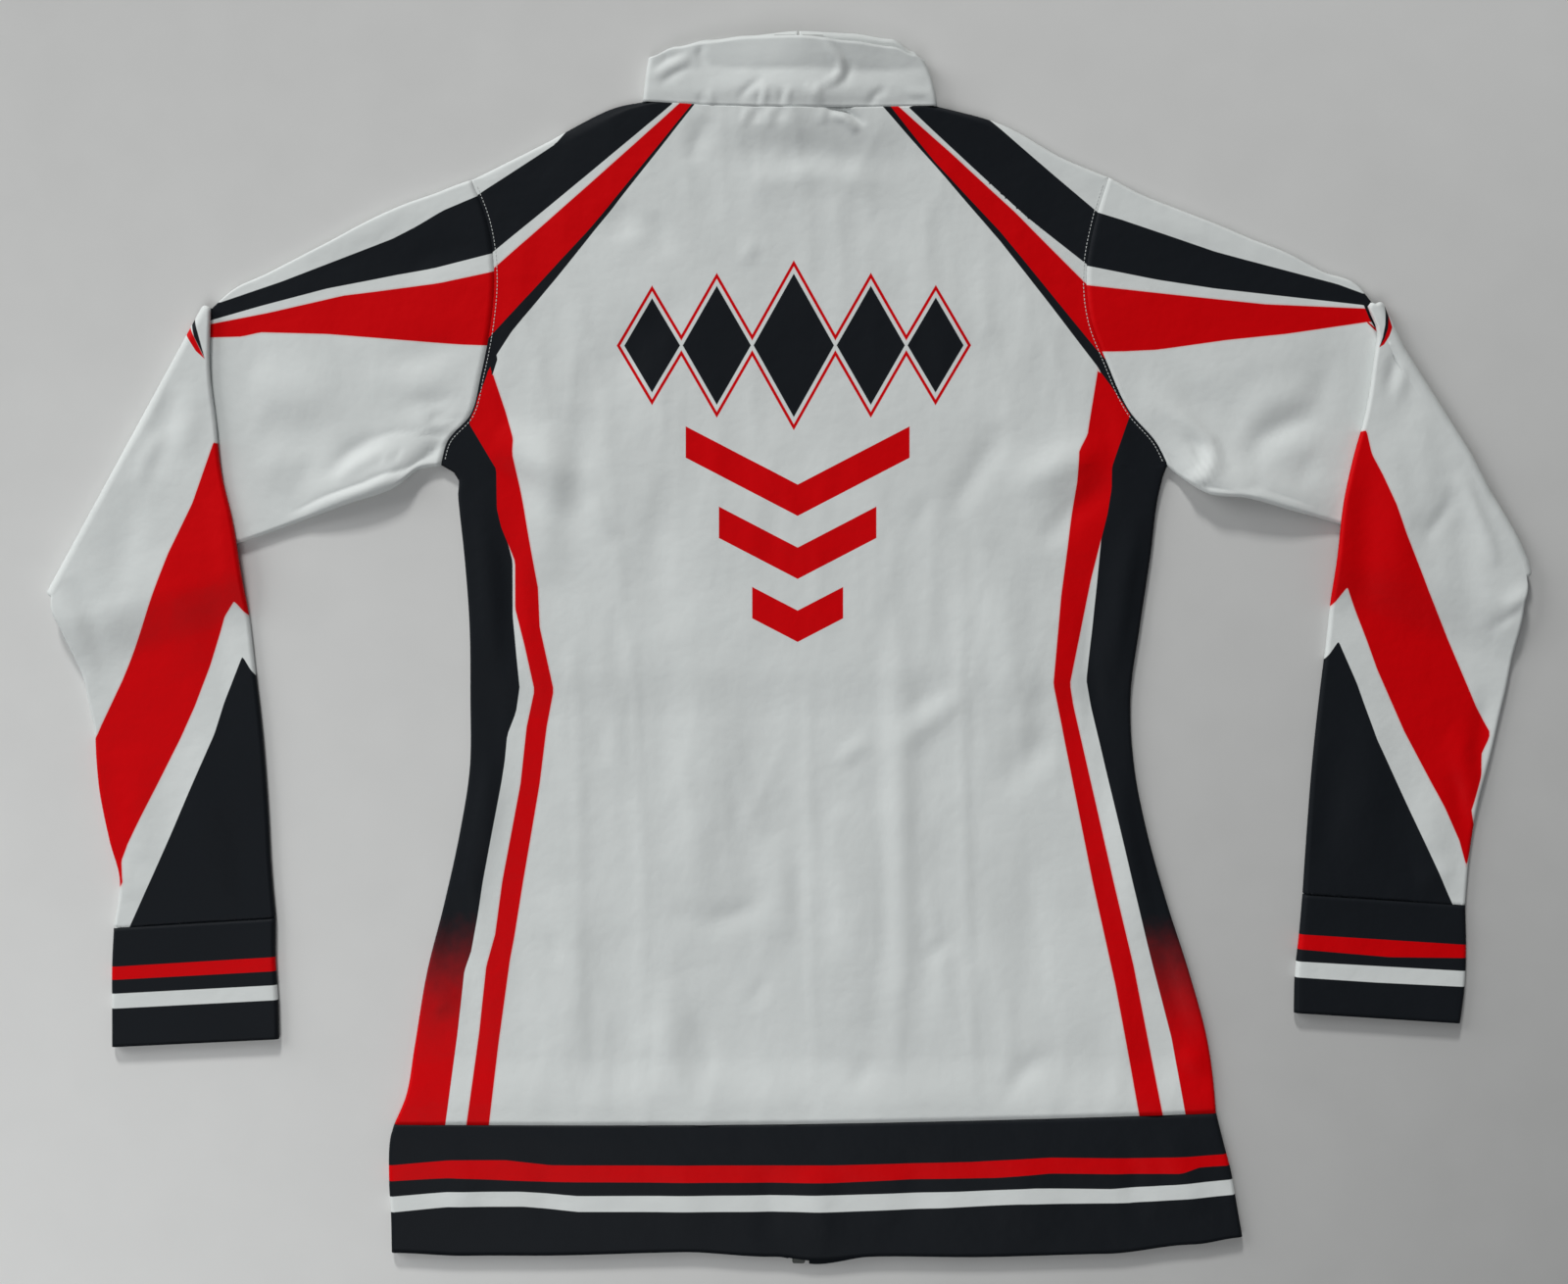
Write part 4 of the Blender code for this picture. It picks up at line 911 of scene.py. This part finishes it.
BULGE_REACH = 46.0
DROP_START = 16.0
DROP_LENGTH = 34.0
COVER_MARGIN = 13.0
SLEEVE_COLUMNS = 86
CROWDING = 0.62  # how strongly those columns gather at both edges, 0 to 1
TURN_STEPS = 12  # round the fold at the elbow
SEAM_REACH = 6  # over which the folds start at the armhole
FOLD_CALM = 8  # and over which they end at the elbow


def tube_shares(lengths, inset, inner):
    """Shares of chords of these lengths at which the columns round a flattened tube lie."""
    edge = (inset + FOLD_REACH * FOLD_TURN) / np.reshape(lengths, (-1, 1))
    upper = [edge, between(edge[:, -1:], 1 - edge[:, -1:], inner), 1 - edge[:, ::-1]]
    upper = np.concatenate(upper, axis=1)
    return np.concatenate([upper, upper[:, -2:0:-1], upper[:, :1]], axis=1)


def tube_rise(inner):
    """How far those columns stand off the tube's middle: 1 on top and -1 underneath."""
    upper = np.concatenate([FOLD_RISE, np.ones(len(inner)), FOLD_RISE[::-1]])
    return np.concatenate([upper, -upper[-2:0:-1], upper[:1]])


def square_to(run, towards):
    """The unit vector square to run in plan, on the side that towards points to."""
    square = np.array([-run[1], run[0]]) / np.hypot(*run)
    return square if square @ towards > 0 else -square


# Paints the sleeves' print by the elbow folds, and a painted shadow on the arm under the right
# flap.
def elbow_print_and_painted_shadow(colour, place):
    across, up, height = (place.coordinate(axis) for axis in (0, 1, 2))
    folded_over = height.step(*ELBOW_HEIGHTS)
    for fill_colour, layer, corners in ELBOW_PRINT_AND_PAINTED_SHADOW:
        inside = folded_over - 0.5 if layer else 0.5 - folded_over
        for (x0, y0), (x1, y1) in zip(corners, corners[1:] + corners[:1]):
            length = np.hypot(x1 - x0, y1 - y0)
            off = (across - x0) * ((y1 - y0) / length) - (up - y0) * ((x1 - x0) / length)
            inside = inside.maths("MINIMUM", inside, off)
        colour = inside.step(-INK_EDGE, INK_EDGE).mix(colour, fill_colour)
    return colour


def sleeve(side, name, upper_arm, fold, bulge, flap, forearm, lifts, slack, prints):
    """One sleeve, from its armhole over the elbow's fold to its cuff.

    Bulge says how far its fold stands out of a straight line, and lifts where the tube is
    raised off the table as a whole. Slack and prints are each for the arm and for the end
    that is folded over.
    """
    middle = (UPPER_BOTTOM + CLOTH) / 2
    lap = UPPER_BOTTOM + CLOTH + LAP
    turn = lap / 2
    even = np.linspace(0, 1, SLEEVE_COLUMNS)[1:-1]
    inner = between(even, (1 - np.cos(pi * even)) / 2, CROWDING)
    inward = np.array([-side, 0])
    hole = np.array(ARMHOLES)[::-1, :2] if side < 0 else np.array(ARMHOLES)[::-1, 2:]
    corner = np.array([fold.under_x, fold.under_y])
    bared = np.array([forearm[3].over_x, forearm[3].over_y])
    past = square_to(corner - np.array(upper_arm[3])[2:], np.array([0, -1]))
    clear = square_to(np.array(forearm[0])[:2] - bared, inward)
    back_in = square_to(corner - np.array(fold)[:2], inward)

    # Chords from the armhole to the fold, round it and on to the cuff
    turned = np.array(fold) + np.tile(back_in, 2) * (turn + FOLD_REACH + CLOTH / 2)
    upper_rows = [np.concatenate([hole[0], hole[-1]]), *upper_arm, turned]
    lower_rows = [turned, *flap, *forearm]
    upper_spots = stations(upper_rows, ROW_STEP)
    upper = run_through(upper_rows, upper_spots)
    lower = run_through(lower_rows, stations(lower_rows, ROW_STEP, ends=(0, 1.1, 2.2)))
    lower[-1, [1, 3]] += SEAM / 2
    angles = (pi * (np.arange(1, TURN_STEPS) / TURN_STEPS - 0.5))[:, None]
    round_fold = turned - np.tile(back_in, 2) * turn * np.cos(angles)
    chords = np.concatenate([upper, round_fold, lower])
    normal = np.zeros((len(chords), 1, 3))
    up_to, past_fold = len(upper), len(upper) + len(angles)
    normal[:up_to, 0, 2] = 1
    normal[up_to:past_fold, 0, :2] = back_in * np.cos(angles)
    normal[up_to:past_fold, 0, 2] = -np.sin(angles[:, 0])
    normal[past_fold:, 0, 2] = -1

    # Points on the tube's flat middle
    share = tube_shares(np.hypot(*(chords[:, :2] - chords[:, 2:]).T), CLOTH / 2, inner)
    x = between(chords[:, :1], chords[:, 2:3], share)
    y = between(chords[:, 1:2], chords[:, 3:4], share)
    length = distances(hole)[-1]
    seam = run_through(hole, tube_shares([length], 0, inner)[0] * length)
    close = 1 - eased(upper_spots / ARMHOLE_REACH)[:, None]
    x[:up_to] += close * (seam[:, 0] + side * ARMHOLE_CLEARANCE - x[0])
    y[:up_to] += close * (seam[:, 1] - y[0])
    from_fold = np.zeros(len(chords))
    from_fold[:up_to] = upper_spots[-1] - upper_spots
    from_fold[past_fold:] = distances(lower)
    from_fold = from_fold[:, None]
    stands_out = np.interp(share, *bulge) * eased(1 - from_fold / BULGE_REACH)
    x -= back_in[0] * stands_out
    y -= back_in[1] * stands_out
    z = np.full(x.shape, middle)
    from_seam = eased((upper_spots - CLOTH) / ARMHOLE_REACH)[:, None]
    z[:up_to] += swell(lifts, x, y)[:up_to] * from_seam * eased(from_fold[:up_to] / BULGE_REACH)
    z[up_to:past_fold] += turn + turn * np.sin(angles)
    beyond = (x[past_fold:] - corner[0]) * past[0] + (y[past_fold:] - corner[1]) * past[1]
    z[past_fold:] += between(lap, REST, eased((beyond - DROP_START) / DROP_LENGTH))

    # The two layers on either side of it
    out = tube_rise(inner)[None, :]
    bare = (x - bared[0]) * clear[0] + (y - bared[1]) * clear[1]
    showing = eased((bare - COVER_MARGIN) / COVER_MARGIN)
    folds = np.zeros(x.shape)
    lowest = CLOTH_CLEAR - HOLLOW
    raised = np.maximum(swell(slack[0], x, y) * showing, lowest)
    begun = eased(upper_spots / SEAM_REACH)[:, None]
    folds[:up_to] = (raised * np.clip(out, 0, 1))[:up_to] * begun
    raised = np.maximum(swell(slack[1], x, y), lowest)
    folds[past_fold:] = (raised * np.clip(out, -1, 0))[past_fold:]
    offset = FOLD_REACH * out + folds * eased(from_fold / FOLD_CALM)
    points = np.stack([x, y, z], axis=-1) + normal * offset[:, :, None]

    marks = print_marks(prints[0], x, y)
    after = up_to + len(angles) // 2
    for colour, values in print_marks(prints[1], x[after:], y[after:]).items():
        marks[colour][after:] = values
    piece = cloth(name + "_knit", points, marks, CLOTH, closed=True, flip=side > 0)
    piece.data.materials.append(sleeve_knit)
    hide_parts(name)
    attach(piece, "jacket")


# The sleeves' knit, which also carries the painted shadow under the right elbow flap.
sleeve_knit = knit("sleeve_knit", WHITE, artwork=elbow_print_and_painted_shadow)
sleeve(
    -1,
    "sleeve_left",
    LEFT_UPPER_ARM,
    LEFT_FOLD,
    LEFT_BULGE,
    (),
    LEFT_FOREARM,
    LEFT_LIFTS,
    (LEFT_UPPER_FOLDS, LEFT_LOWER_FOLDS),
    (LEFT_UPPER_PRINT, LEFT_LOWER_PRINT),
)
sleeve(
    1,
    "sleeve_right",
    RIGHT_UPPER_ARM,
    RIGHT_FOLD,
    RIGHT_BULGE,
    RIGHT_FLAP,
    RIGHT_FOREARM,
    RIGHT_LIFTS,
    (RIGHT_UPPER_FOLDS, RIGHT_LOWER_FOLDS),
    (RIGHT_UPPER_PRINT, RIGHT_LOWER_PRINT),
)

# Cuffs: a strip of black knit, doubled and sewn to a ring on the end of each sleeve, with a
# red and a white stripe printed round it.
BAND = 1.8  # doubled cloth
CUFF_STEP = 2.4
CUFF_COLUMNS = 40
LEFT_CUFF = (
    LEFT_FOREARM[-1],
    Chord(-299.5, 170, -393, 165),
    Chord(-298, 144.5, -393, 140),
    Chord(-297.5, 123, -393, 118.5),
)
RIGHT_CUFF = (
    RIGHT_FOREARM[-1],
    Chord(286.5, 183, 382, 173.5),
    Chord(284, 159, 381, 151),
    Chord(283.5, 138, 378.5, 132),
)
LEFT_CUFF_PRINT = {
    "red": ((
        (-411.5, 163.5), (-391.5, 164.5), (-299.5, 170), (-283, 171.5), (-283, 163), (-299, 162),
        (-392, 157), (-411.5, 155),
    ),),
    "white": ((
        (-411.5, 147.5), (-392.5, 149), (-298.5, 154), (-283, 154.5), (-283, 146.5),
        (-297.5, 145.5), (-393.5, 140.5), (-411.5, 139),
    ),),
}
RIGHT_CUFF_PRINT = {
    "red": ((
        (271.5, 184), (286.5, 183), (381.5, 177), (395, 176), (395, 168.5), (382, 169.5),
        (338, 170), (286, 174.5), (271.5, 176),
    ),),
    "white": ((
        (271.5, 168.5), (285, 167.5), (381.5, 162), (395, 160.5), (395, 152), (381.5, 153),
        (330.5, 155.5), (284.5, 158.5), (271.5, 159.5),
    ),),
}
band_knit = knit("band_knit", BLACK)
inner = np.linspace(0, 1, CUFF_COLUMNS)[1:-1]
for side, name, table, outlines in (
    (-1, "cuff_left", LEFT_CUFF, LEFT_CUFF_PRINT),
    (1, "cuff_right", RIGHT_CUFF, RIGHT_CUFF_PRINT),
):
    chords = run_through(table, stations(table, CUFF_STEP))
    chords[0, [1, 3]] -= SEAM / 2
    share = tube_shares(np.hypot(*(chords[:, :2] - chords[:, 2:]).T), BAND / 2, inner)
    x = between(chords[:, :1], chords[:, 2:3], share)
    y = between(chords[:, 1:2], chords[:, 3:4], share)
    z = (UPPER_BOTTOM + BAND) / 2 - FOLD_REACH * tube_rise(inner) + 0 * x
    marks = print_marks(outlines, x, y)
    cuff = cloth(name + "_knit", np.stack([x, y, z], axis=-1), marks, BAND, True, side > 0)
    cuff.data.materials.append(band_knit)
    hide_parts(name)
    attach(cuff, "jacket")

# Hem band: a strip of the same black knit, doubled, sewn round the jacket's lower edge from
# one side of the zip to the other, with a red and a white stripe printed along it.
HEM_ROWS = (
    SIDES[0],
    Row(-234, 65, 243, 64.5),
    Row(-234.5, 40.5, 248, 45),
    Row(-233.5, 24, 251, 27),
    Row(-233, 1, 254, 10),
)
Wave = namedtuple("Wave", "share back front")  # how far the free edges leave a straight line
HEM_WAVES = (
    Wave(0.0, 0.0, 0.0),
    Wave(0.09, -2.4, -2.0),
    Wave(0.20, -3.2, -3.0),
    Wave(0.34, -2.6, -3.4),
    Wave(0.45, -6.2, -7.2),
    Wave(0.50, -9.0, -12.0),
    Wave(0.57, -7.2, -8.0),
    Wave(0.70, -8.6, -8.2),
    Wave(0.84, -8.0, -7.6),
    Wave(0.94, -3.6, -3.4),
    Wave(1.0, 0.0, 0.0),
)
HEM_PRINT = {
    "red": ((
        (-243.5, 50.5), (-233.5, 51), (-200, 54), (-167, 54), (-142, 51), (18.5, 51), (98.5, 53),
        (143.5, 55.5), (188, 55), (223.5, 56), (244, 57.5), (260.5, 59), (260.5, 52), (246, 51),
        (229, 50), (218.5, 46.5), (184, 46), (143.5, 46.5), (113, 44), (63.5, 43), (18.5, 41),
        (-143, 41.5), (-200, 44), (-233.5, 42), (-243.5, 41.5),
    ),),
    "white": ((
        (-243.5, 32.5), (-234, 33), (-200, 36), (-159.5, 36), (-126, 33.5), (22, 34), (92, 36),
        (134.5, 38), (179, 37.5), (215, 40), (247, 43), (263, 45), (263, 36), (250, 34.5),
        (223.5, 32), (188, 29.5), (125.5, 29), (80.5, 26.5), (23.5, 24.5), (-126, 24.5),
        (-157.5, 27.5), (-200, 27.5), (-234, 24), (-243.5, 23.5),
    ),),
}
HEM_FOLDS = (
    Fold(0.98, 10, ((-204.5, 61.5), (-193, 39), (-197.5, 11))),
    Fold(-0.84, 10, ((-143, 64.5), (-145, 36.5), (-139.5, 8.5))),
    Fold(0.84, 12, ((-70, 64.5), (-64.5, 36.5), (-70, 5.5))),
    Fold(-0.98, 9, ((-19.5, 56), (-14, 31), (-16, 3))),
    Fold(1.26, 9, ((6, 50.5), (13, 25), (17.5, 0)), 0.3),
    Fold(-0.84, 11, ((64.5, 64.5), (68, 36.5), (63.5, 3))),
    Fold(0.98, 13, ((126, 64.5), (129.5, 36.5), (135, 4.5))),
    Fold(0.98, 9, ((213.5, 73), (219, 50.5), (230, 22.5)), 0.3),
    Fold(-0.84, 7, ((187.5, 67), (192, 39), (195.5, 11))),
)
TOP_START = 0.89  # share of a band's depth at which its front ends start to draw together
TOP_LENGTH = 0.06  # and over which they do
SEAM_SHARE = 0.2  # of its depth, over which its top rises from the cloth at the seam


def waved(waves, share, part):
    """How far the free edge leaves a straight line at each share of the way across."""
    knots = np.array([wave.share for wave in waves])
    values = np.array([getattr(wave, part) for wave in waves])
    step = np.clip(np.searchsorted(knots, share, side="right") - 1, 0, len(knots) - 2)
    local = (share - knots[step]) / (knots[step + 1] - knots[step])
    return between(values[step], values[step + 1], eased(local))


def zip_to_zip(rows, waves, hangs, step, across, folds, top_gap=ZIP_EDGE):
    """Points of a doubled band: a front part on each side, under the back part.

    Hangs are the seam's sags at the back and at the front. Along the free edge the front
    parts come as near to the middle as the top gap.
    """
    spots = stations(rows, step)
    table = run_through(rows, spots)
    left, right = table[:, :1], table[:, 2:3]
    edge = (BAND / 2 + FOLD_REACH * FOLD_TURN) / (right - left)
    inner = np.linspace(0, 1, across // 2)[:-1]
    weight = (spots / spots[-1])[:, None]
    gap = between(ZIP_EDGE, top_gap, eased((weight - TOP_START) / TOP_LENGTH))
    left_front = between((-gap - left) / (right - left), edge[:, -1:], inner)
    right_front = between(edge[:, -1:], (right - gap) / (right - left), 1 - inner[::-1])
    back_part = between(edge[:, -1:], 1 - edge[:, -1:], np.linspace(0, 1, across)[1:-1])
    columns = (
        (left_front, np.ones(len(inner)), True),
        (edge[:, :0:-1], FOLD_RISE[:0:-1], True),
        (edge, FOLD_RISE, False),
        (back_part, np.ones(across - 2), False),
        (1 - edge[:, ::-1], FOLD_RISE[::-1], False),
        (1 - edge[:, 1:], FOLD_RISE[1:], True),
        (1 - right_front, np.ones(len(inner)), True),
    )
    share = np.concatenate([shares for shares, _, _ in columns], axis=1)
    rise = np.concatenate([rises for _, rises, _ in columns])
    front = np.concatenate([np.full(len(rises), under) for _, rises, under in columns])
    seam_side = 1 if rows[-1].left_y > rows[0].left_y else -1
    y = between(table[:, 1:2], table[:, 3:4], share)
    y -= sag(share, np.where(front, hangs[1], hangs[0])) * (1 - weight)
    wave = np.where(front, waved(waves, share, "front"), waved(waves, share, "back"))
    y += wave * weight
    y[0] += seam_side * SEAM / 4
    x = between(left, right, share)
    low = BAND / 2 + THROAT_LIFT * throat(x, y)
    high = over_lower_layer(x, y, BAND, swell(folds, x, y))
    high -= (BAND - CLOTH) * (1 - eased(weight / SEAM_SHARE))
    z = between((UPPER_BOTTOM + BAND) / 2, np.where(front, low, high), rise)
    return np.stack([x, y, z], axis=-1)


points = zip_to_zip(
    HEM_ROWS,
    HEM_WAVES,
    hangs=(HEM_SAG, HEM_SAG),
    step=2.6,
    across=156,
    folds=HEM_FOLDS,
)
marks = print_marks(HEM_PRINT, points[:, :, 0], points[:, :, 1])
hem_band = cloth("hem_band_knit", points, marks, BAND, flip=True)
hem_band.data.materials.append(band_knit)
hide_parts("hem_band")
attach(hem_band, "jacket")

# Collar: a stand collar of white knit, doubled and sewn round the neck. Laid face down it has
# buckled along its middle, and its front part peeps out beyond the top of its back part.
COLLAR_ROWS = (
    SHOULDERS[-1],
    Row(-88.5, 666.5, 78.5, 662),
    Row(-87.5, 675, 76, 672),
    Row(-86, 683, 72, 681),
)
COLLAR_WAVES = (
    Wave(0.0, 0.0, 0.0),
    Wave(0.10, 5.6, 8.4),
    Wave(0.22, 8.6, 12.4),
    Wave(0.36, 10.8, 14.8),
    Wave(0.55, 11.2, 17.4),
    Wave(0.73, 9.2, 16.8),
    Wave(0.88, 7.0, 14.2),
    Wave(0.96, 3.0, 7.0),
    Wave(1.0, 0.0, 0.0),
)
COLLAR_FOLDS = (
    Fold(-1.52, 6, ((-64.5, 675.5), (-47.5, 677.5), (-23, 675.5), (11, 676), (25, 675), (50.5, 675),
         (75.5, 678)), 0, 1),
    Fold(2.56, 12, ((-75.5, 685.5), (-53, 690.5), (-25, 693.5), (8.5, 694), (50.5, 689),
         (75.5, 682)), 0, 1),
    Fold(1.04, 6, ((-70, 663), (-31, 665.5), (8.5, 664), (47.5, 665.5), (73.5, 666.5))),
    Fold(1.36, 2.4, ((13, 692), (18, 686.5), (24, 680), (24.5, 674), (20.5, 668.5),
         (12, 665.5)), 0.5),
    Fold(-1.04, 2.4, ((17.5, 691), (24, 684.5), (29.5, 676.5), (26.5, 668.5), (16, 662.5))),
    Fold(0.96, 2.4, ((12, 667.5), (10.5, 661.5), (12, 654))),
    Fold(-0.96, 3, ((-83.5, 676.5), (-75.5, 682), (-63.5, 686.5)), 0.3),
    Fold(-0.88, 2.8, ((-80.5, 668), (-71, 674), (-59, 679.5)), 0.3),
    Fold(0.88, 3.2, ((-84.5, 670), (-74.5, 677), (-61, 683))),
    Fold(-0.88, 2.6, ((-53, 691), (-56, 684.5), (-52, 677.5)), 0.3),
    Fold(-1.04, 2.2, ((-35.5, 658.5), (-30, 664), (-20, 671)), 0.2),
    Fold(1.04, 2, ((-19, 666.5), (-19.5, 661), (-20, 655))),
    Fold(-0.8, 1.8, ((-22.5, 663), (-23, 658.5), (-23.5, 654.5))),
    Fold(-0.8, 2, ((-9.5, 664), (-10, 659.5), (-10, 654.5))),
    Fold(0.8, 2, ((-5.5, 665.5), (-6, 659.5), (-6.5, 654.5))),
    Fold(0.8, 2, ((3, 665.5), (8, 661), (8, 655))),
    Fold(-0.8, 2, ((-57.5, 662), (-55.5, 657.5), (-54.5, 655))),
    Fold(0.8, 2, ((-51, 664), (-50, 659.5), (-48.5, 655))),
    Fold(-0.96, 2.4, ((38.5, 654), (43, 661), (50.5, 665.5)), 0.2),
    Fold(0.56, 2.6, ((59, 663), (69, 662.5), (76.5, 663))),
    Fold(-0.4, 2, ((57.5, 660), (68, 659), (75.5, 659))),
)
points = zip_to_zip(
    COLLAR_ROWS,
    COLLAR_WAVES,
    hangs=(NECK_DIP, FRONT_NECK_DROP),
    step=1.3,
    across=130,
    folds=COLLAR_FOLDS + NECK_FOLDS,
    top_gap=0.3,
)
collar = cloth("collar_knit", points, {}, BAND)
collar.data.materials.append(sleeve_knit)
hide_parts("collar")
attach(collar, "jacket")

# Armhole seams: the sleeves are sewn in with a row of pale topstitches on the body's side.
STITCH = (1.35, 0.42, 0.34)  # along the seam, across it and upwards
STITCH_PITCH = 2.1
STITCH_INSET = 1.7
STITCH_ENDS = 4.0
STITCH_PROUD = 0.2  # share of its height that its middle lies above the cloth


def little_blocks(name, size, rounding, places):
    """A piece of small rounded blocks, one at each place: x, y, z and its turn in plan."""
    heap = bmesh.new()
    for x, y, z, turn in places:
        centre = (Vector((x, y, z)) + SHIFT) * MM
        block = Matrix.LocRotScale(centre, Euler((0, 0, turn)), Vector(size) * MM)
        bmesh.ops.create_cube(heap, size=1, matrix=block)
    bmesh.ops.bevel(
        heap,
        geom=heap.edges[:],
        offset=rounding * MM,
        segments=1,
        profile=0.5,
        affect="EDGES",
        material=-1,
    )
    return placed(name, mesh_of(name, heap))


places = []
for side in (-1, 1):
    hole = np.array(ARMHOLES)[:, :2] if side < 0 else np.array(ARMHOLES)[:, 2:]
    spots = np.arange(STITCH_ENDS, distances(hole)[-1] - STITCH_ENDS, STITCH_PITCH)
    seam = run_through(hole, spots)
    for spot, run in zip(seam, run_through(hole, spots + 0.5) - seam):
        x, y = spot + square_to(run, np.array([-side, 0])) * STITCH_INSET
        top = back_height(np.array(x), np.array(y), STITCH_INSET)
        z = float(top) + CLOTH / 2 + STITCH[2] * STITCH_PROUD
        places.append((x, y, z, np.arctan2(run[1], run[0])))
thread, shader, place = finish_of("thread")
twist = (place.coordinate(1) * (2 * pi / 0.5)).maths("SINE") * 0.5 + 0.5
twist.mix((0.42, 0.44, 0.43, 1), (0.6, 0.62, 0.61, 1)).feed(shader, "Base Color")
relief(twist * 0.05, shader, 0.5)
shader.inputs["Roughness"].default_value = 0.6
stitches = little_blocks("armhole_stitches", STITCH, 0.12, places)
stitches.data.materials.append(thread)
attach(stitches, "jacket")

# Zip: woven tapes that carry a moulded chain, with a metal box and pin at the hem and a metal
# slider at the throat. The tapes are sewn inside the front edges.
TOOTH = (2.7, 0.95, 1.2)  # across the zip, along it and upwards
TOOTH_PITCH = 1.5
TOOTH_ASIDE = 1.05  # of the middle, to the left and the right in turn
CHAIN_START = 21.5
CHAIN_END = SLIDER_Y - 6.5
BAND_SEAMS = (82, 90, 612, 621)  # where the tapes step down from a doubled band and up again
places = []
for index, y in enumerate(np.arange(CHAIN_START, CHAIN_END, TOOTH_PITCH / 2)):
    x = TOOTH_ASIDE if index % 2 else -TOOTH_ASIDE
    tape_bottom = np.interp(y, BAND_SEAMS, (BAND, CLOTH, CLOTH, BAND)) + SEAM
    places.append((x, y, tape_bottom - TOOTH[2] / 2 + THROAT_LIFT * throat(x, y), 0))
chain, shader, place = finish_of("moulded_chain")
worn = place.cloud(3, 3)
worn.mix((0.42, 0.43, 0.42, 1), (0.56, 0.57, 0.56, 1)).feed(shader, "Base Color")
relief(worn * 0.05, shader, 0.4)
shader.inputs["Roughness"].default_value = 0.42
teeth = little_blocks("zip_teeth", TOOTH, 0.22, places)
teeth.data.materials.append(chain)
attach(teeth, "jacket")

tape_weave, shader, place = finish_of("tape_weave")
across, up = place.coordinate(0), place.coordinate(1)
rib = ((abs(across) + up) * (2 * pi / 0.85)).maths("SINE") * 0.5 + 0.5
ground = place.cloud(5, 3) * 0.5 + rib * 0.5
ground.mix((0.55, 0.57, 0.56, 1), (0.68, 0.70, 0.69, 1)).feed(shader, "Base Color")
relief(rib * 0.12, shader, 0.7)
shader.inputs["Roughness"].default_value = 0.8
shader.inputs["Specular IOR Level"].default_value = 0.15
nickel, shader, place = finish_of("nickel")
scuffs = place.cloud(1.4, 4, rough=0.7)
scuffs.mix((0.022, 0.025, 0.023, 1), (0.085, 0.09, 0.086, 1)).feed(shader, "Base Color")
(scuffs * 0.3 + 0.34).feed(shader, "Roughness")
relief(scuffs * 0.04, shader, 0.4)
shader.inputs["Metallic"].default_value = 1.0
for name, finish in (
    ("zip_tape_left", tape_weave),
    ("zip_tape_right", tape_weave),
    ("zip_box", nickel),
    ("zip_pin", nickel),
    ("zip_slider", nickel),
    ("zip_pull_tab", nickel),
):
    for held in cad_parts[name].material_slots:
        held.material = finish

# Table, light and camera: a pale table top whose paint carries painted light and shade,
# brightest at the near left and darkest at the near right, soft light from beyond the collar
# and a little from the left, and the camera straight above.
TABLE = 3.0  # half its width, in metres
PAINTED_LIGHT_NEAR_LEFT = 1.126  # painted light: the paint's tone at the left below, where it is brightest, and the changes from there
PAINTED_DIMMING_RIGHT = 0.419
PAINTED_DIMMING_BEYOND = 0.229
PAINTED_BRIGHTENING_FAR_RIGHT = 0.563
TONE_PATCHES = (40, 0.05)  # size and strength
sheet = bmesh.new()
bmesh.ops.create_grid(sheet, x_segments=1, y_segments=1, size=TABLE)
table = placed("table_top", mesh_of("table_top", sheet))
table_paint_and_painted_light, shader, place = finish_of("table_paint_and_painted_light")
# Painted light and shade: the paint is brightest at the near left and darkest at the near right,
# standing in for uneven light on the table. The cloud patches are the paint's own random tone.
right = (place.coordinate(0) * MM).step(-0.6, 0.6)
beyond = (place.coordinate(1) * MM).step(-0.3, 1.0)
painted_light_and_patches = PAINTED_LIGHT_NEAR_LEFT - right * PAINTED_DIMMING_RIGHT - beyond * PAINTED_DIMMING_BEYOND + right * beyond * PAINTED_BRIGHTENING_FAR_RIGHT
painted_light_and_patches = painted_light_and_patches + (place.cloud(TONE_PATCHES[0], 4) - 0.5) * TONE_PATCHES[1]
table_colour_with_painted_light = painted_light_and_patches.step(0.5, 1.3).mix((0.30, 0.30, 0.297, 1), (0.86, 0.865, 0.855, 1))
table_colour_with_painted_light.feed(shader, "Base Color")
shader.inputs["Roughness"].default_value = 0.7
shader.inputs["Specular IOR Level"].default_value = 0.1
table.data.materials.append(table_paint_and_painted_light)


def lamp(name, place, size, energy, colour):
    """A square soft light, size metres wide, that faces the jacket."""
    light = bpy.data.lights.new(name, "AREA")
    light.size = size
    light.energy = energy
    light.color = colour
    holder = placed(name, light)
    holder.location = place
    holder.rotation_euler = (-holder.location).to_track_quat("-Z", "Y").to_euler()


lamp("lamp", (-1.2, 6.8, 3.6), 1.0, 325, (1.0, 0.995, 0.98))
lamp("window", (-3.8, 2.1, 1.85), 2.7, 104, (0.99, 1.0, 1.0))
lamp("ceiling", (-0.4, -1.0, 1.6), 1.2, 10.6, (0.98, 0.99, 1.0))
world = bpy.data.worlds.new("room")
world.use_nodes = True
sky = world.node_tree.nodes["Background"]
sky.inputs["Color"].default_value = (0.95, 0.97, 1.0, 1)
sky.inputs["Strength"].default_value = 0.105
bpy.context.scene.world = world
bpy.context.scene.view_settings.view_transform = "Standard"

camera = bpy.data.cameras.new("overhead")
camera.lens = 45
camera.sensor_width = 36
camera_holder = placed("overhead", camera)
camera_holder.location = (-0.0014, 0.0035, 1.125)
bpy.context.scene.camera = camera_holder
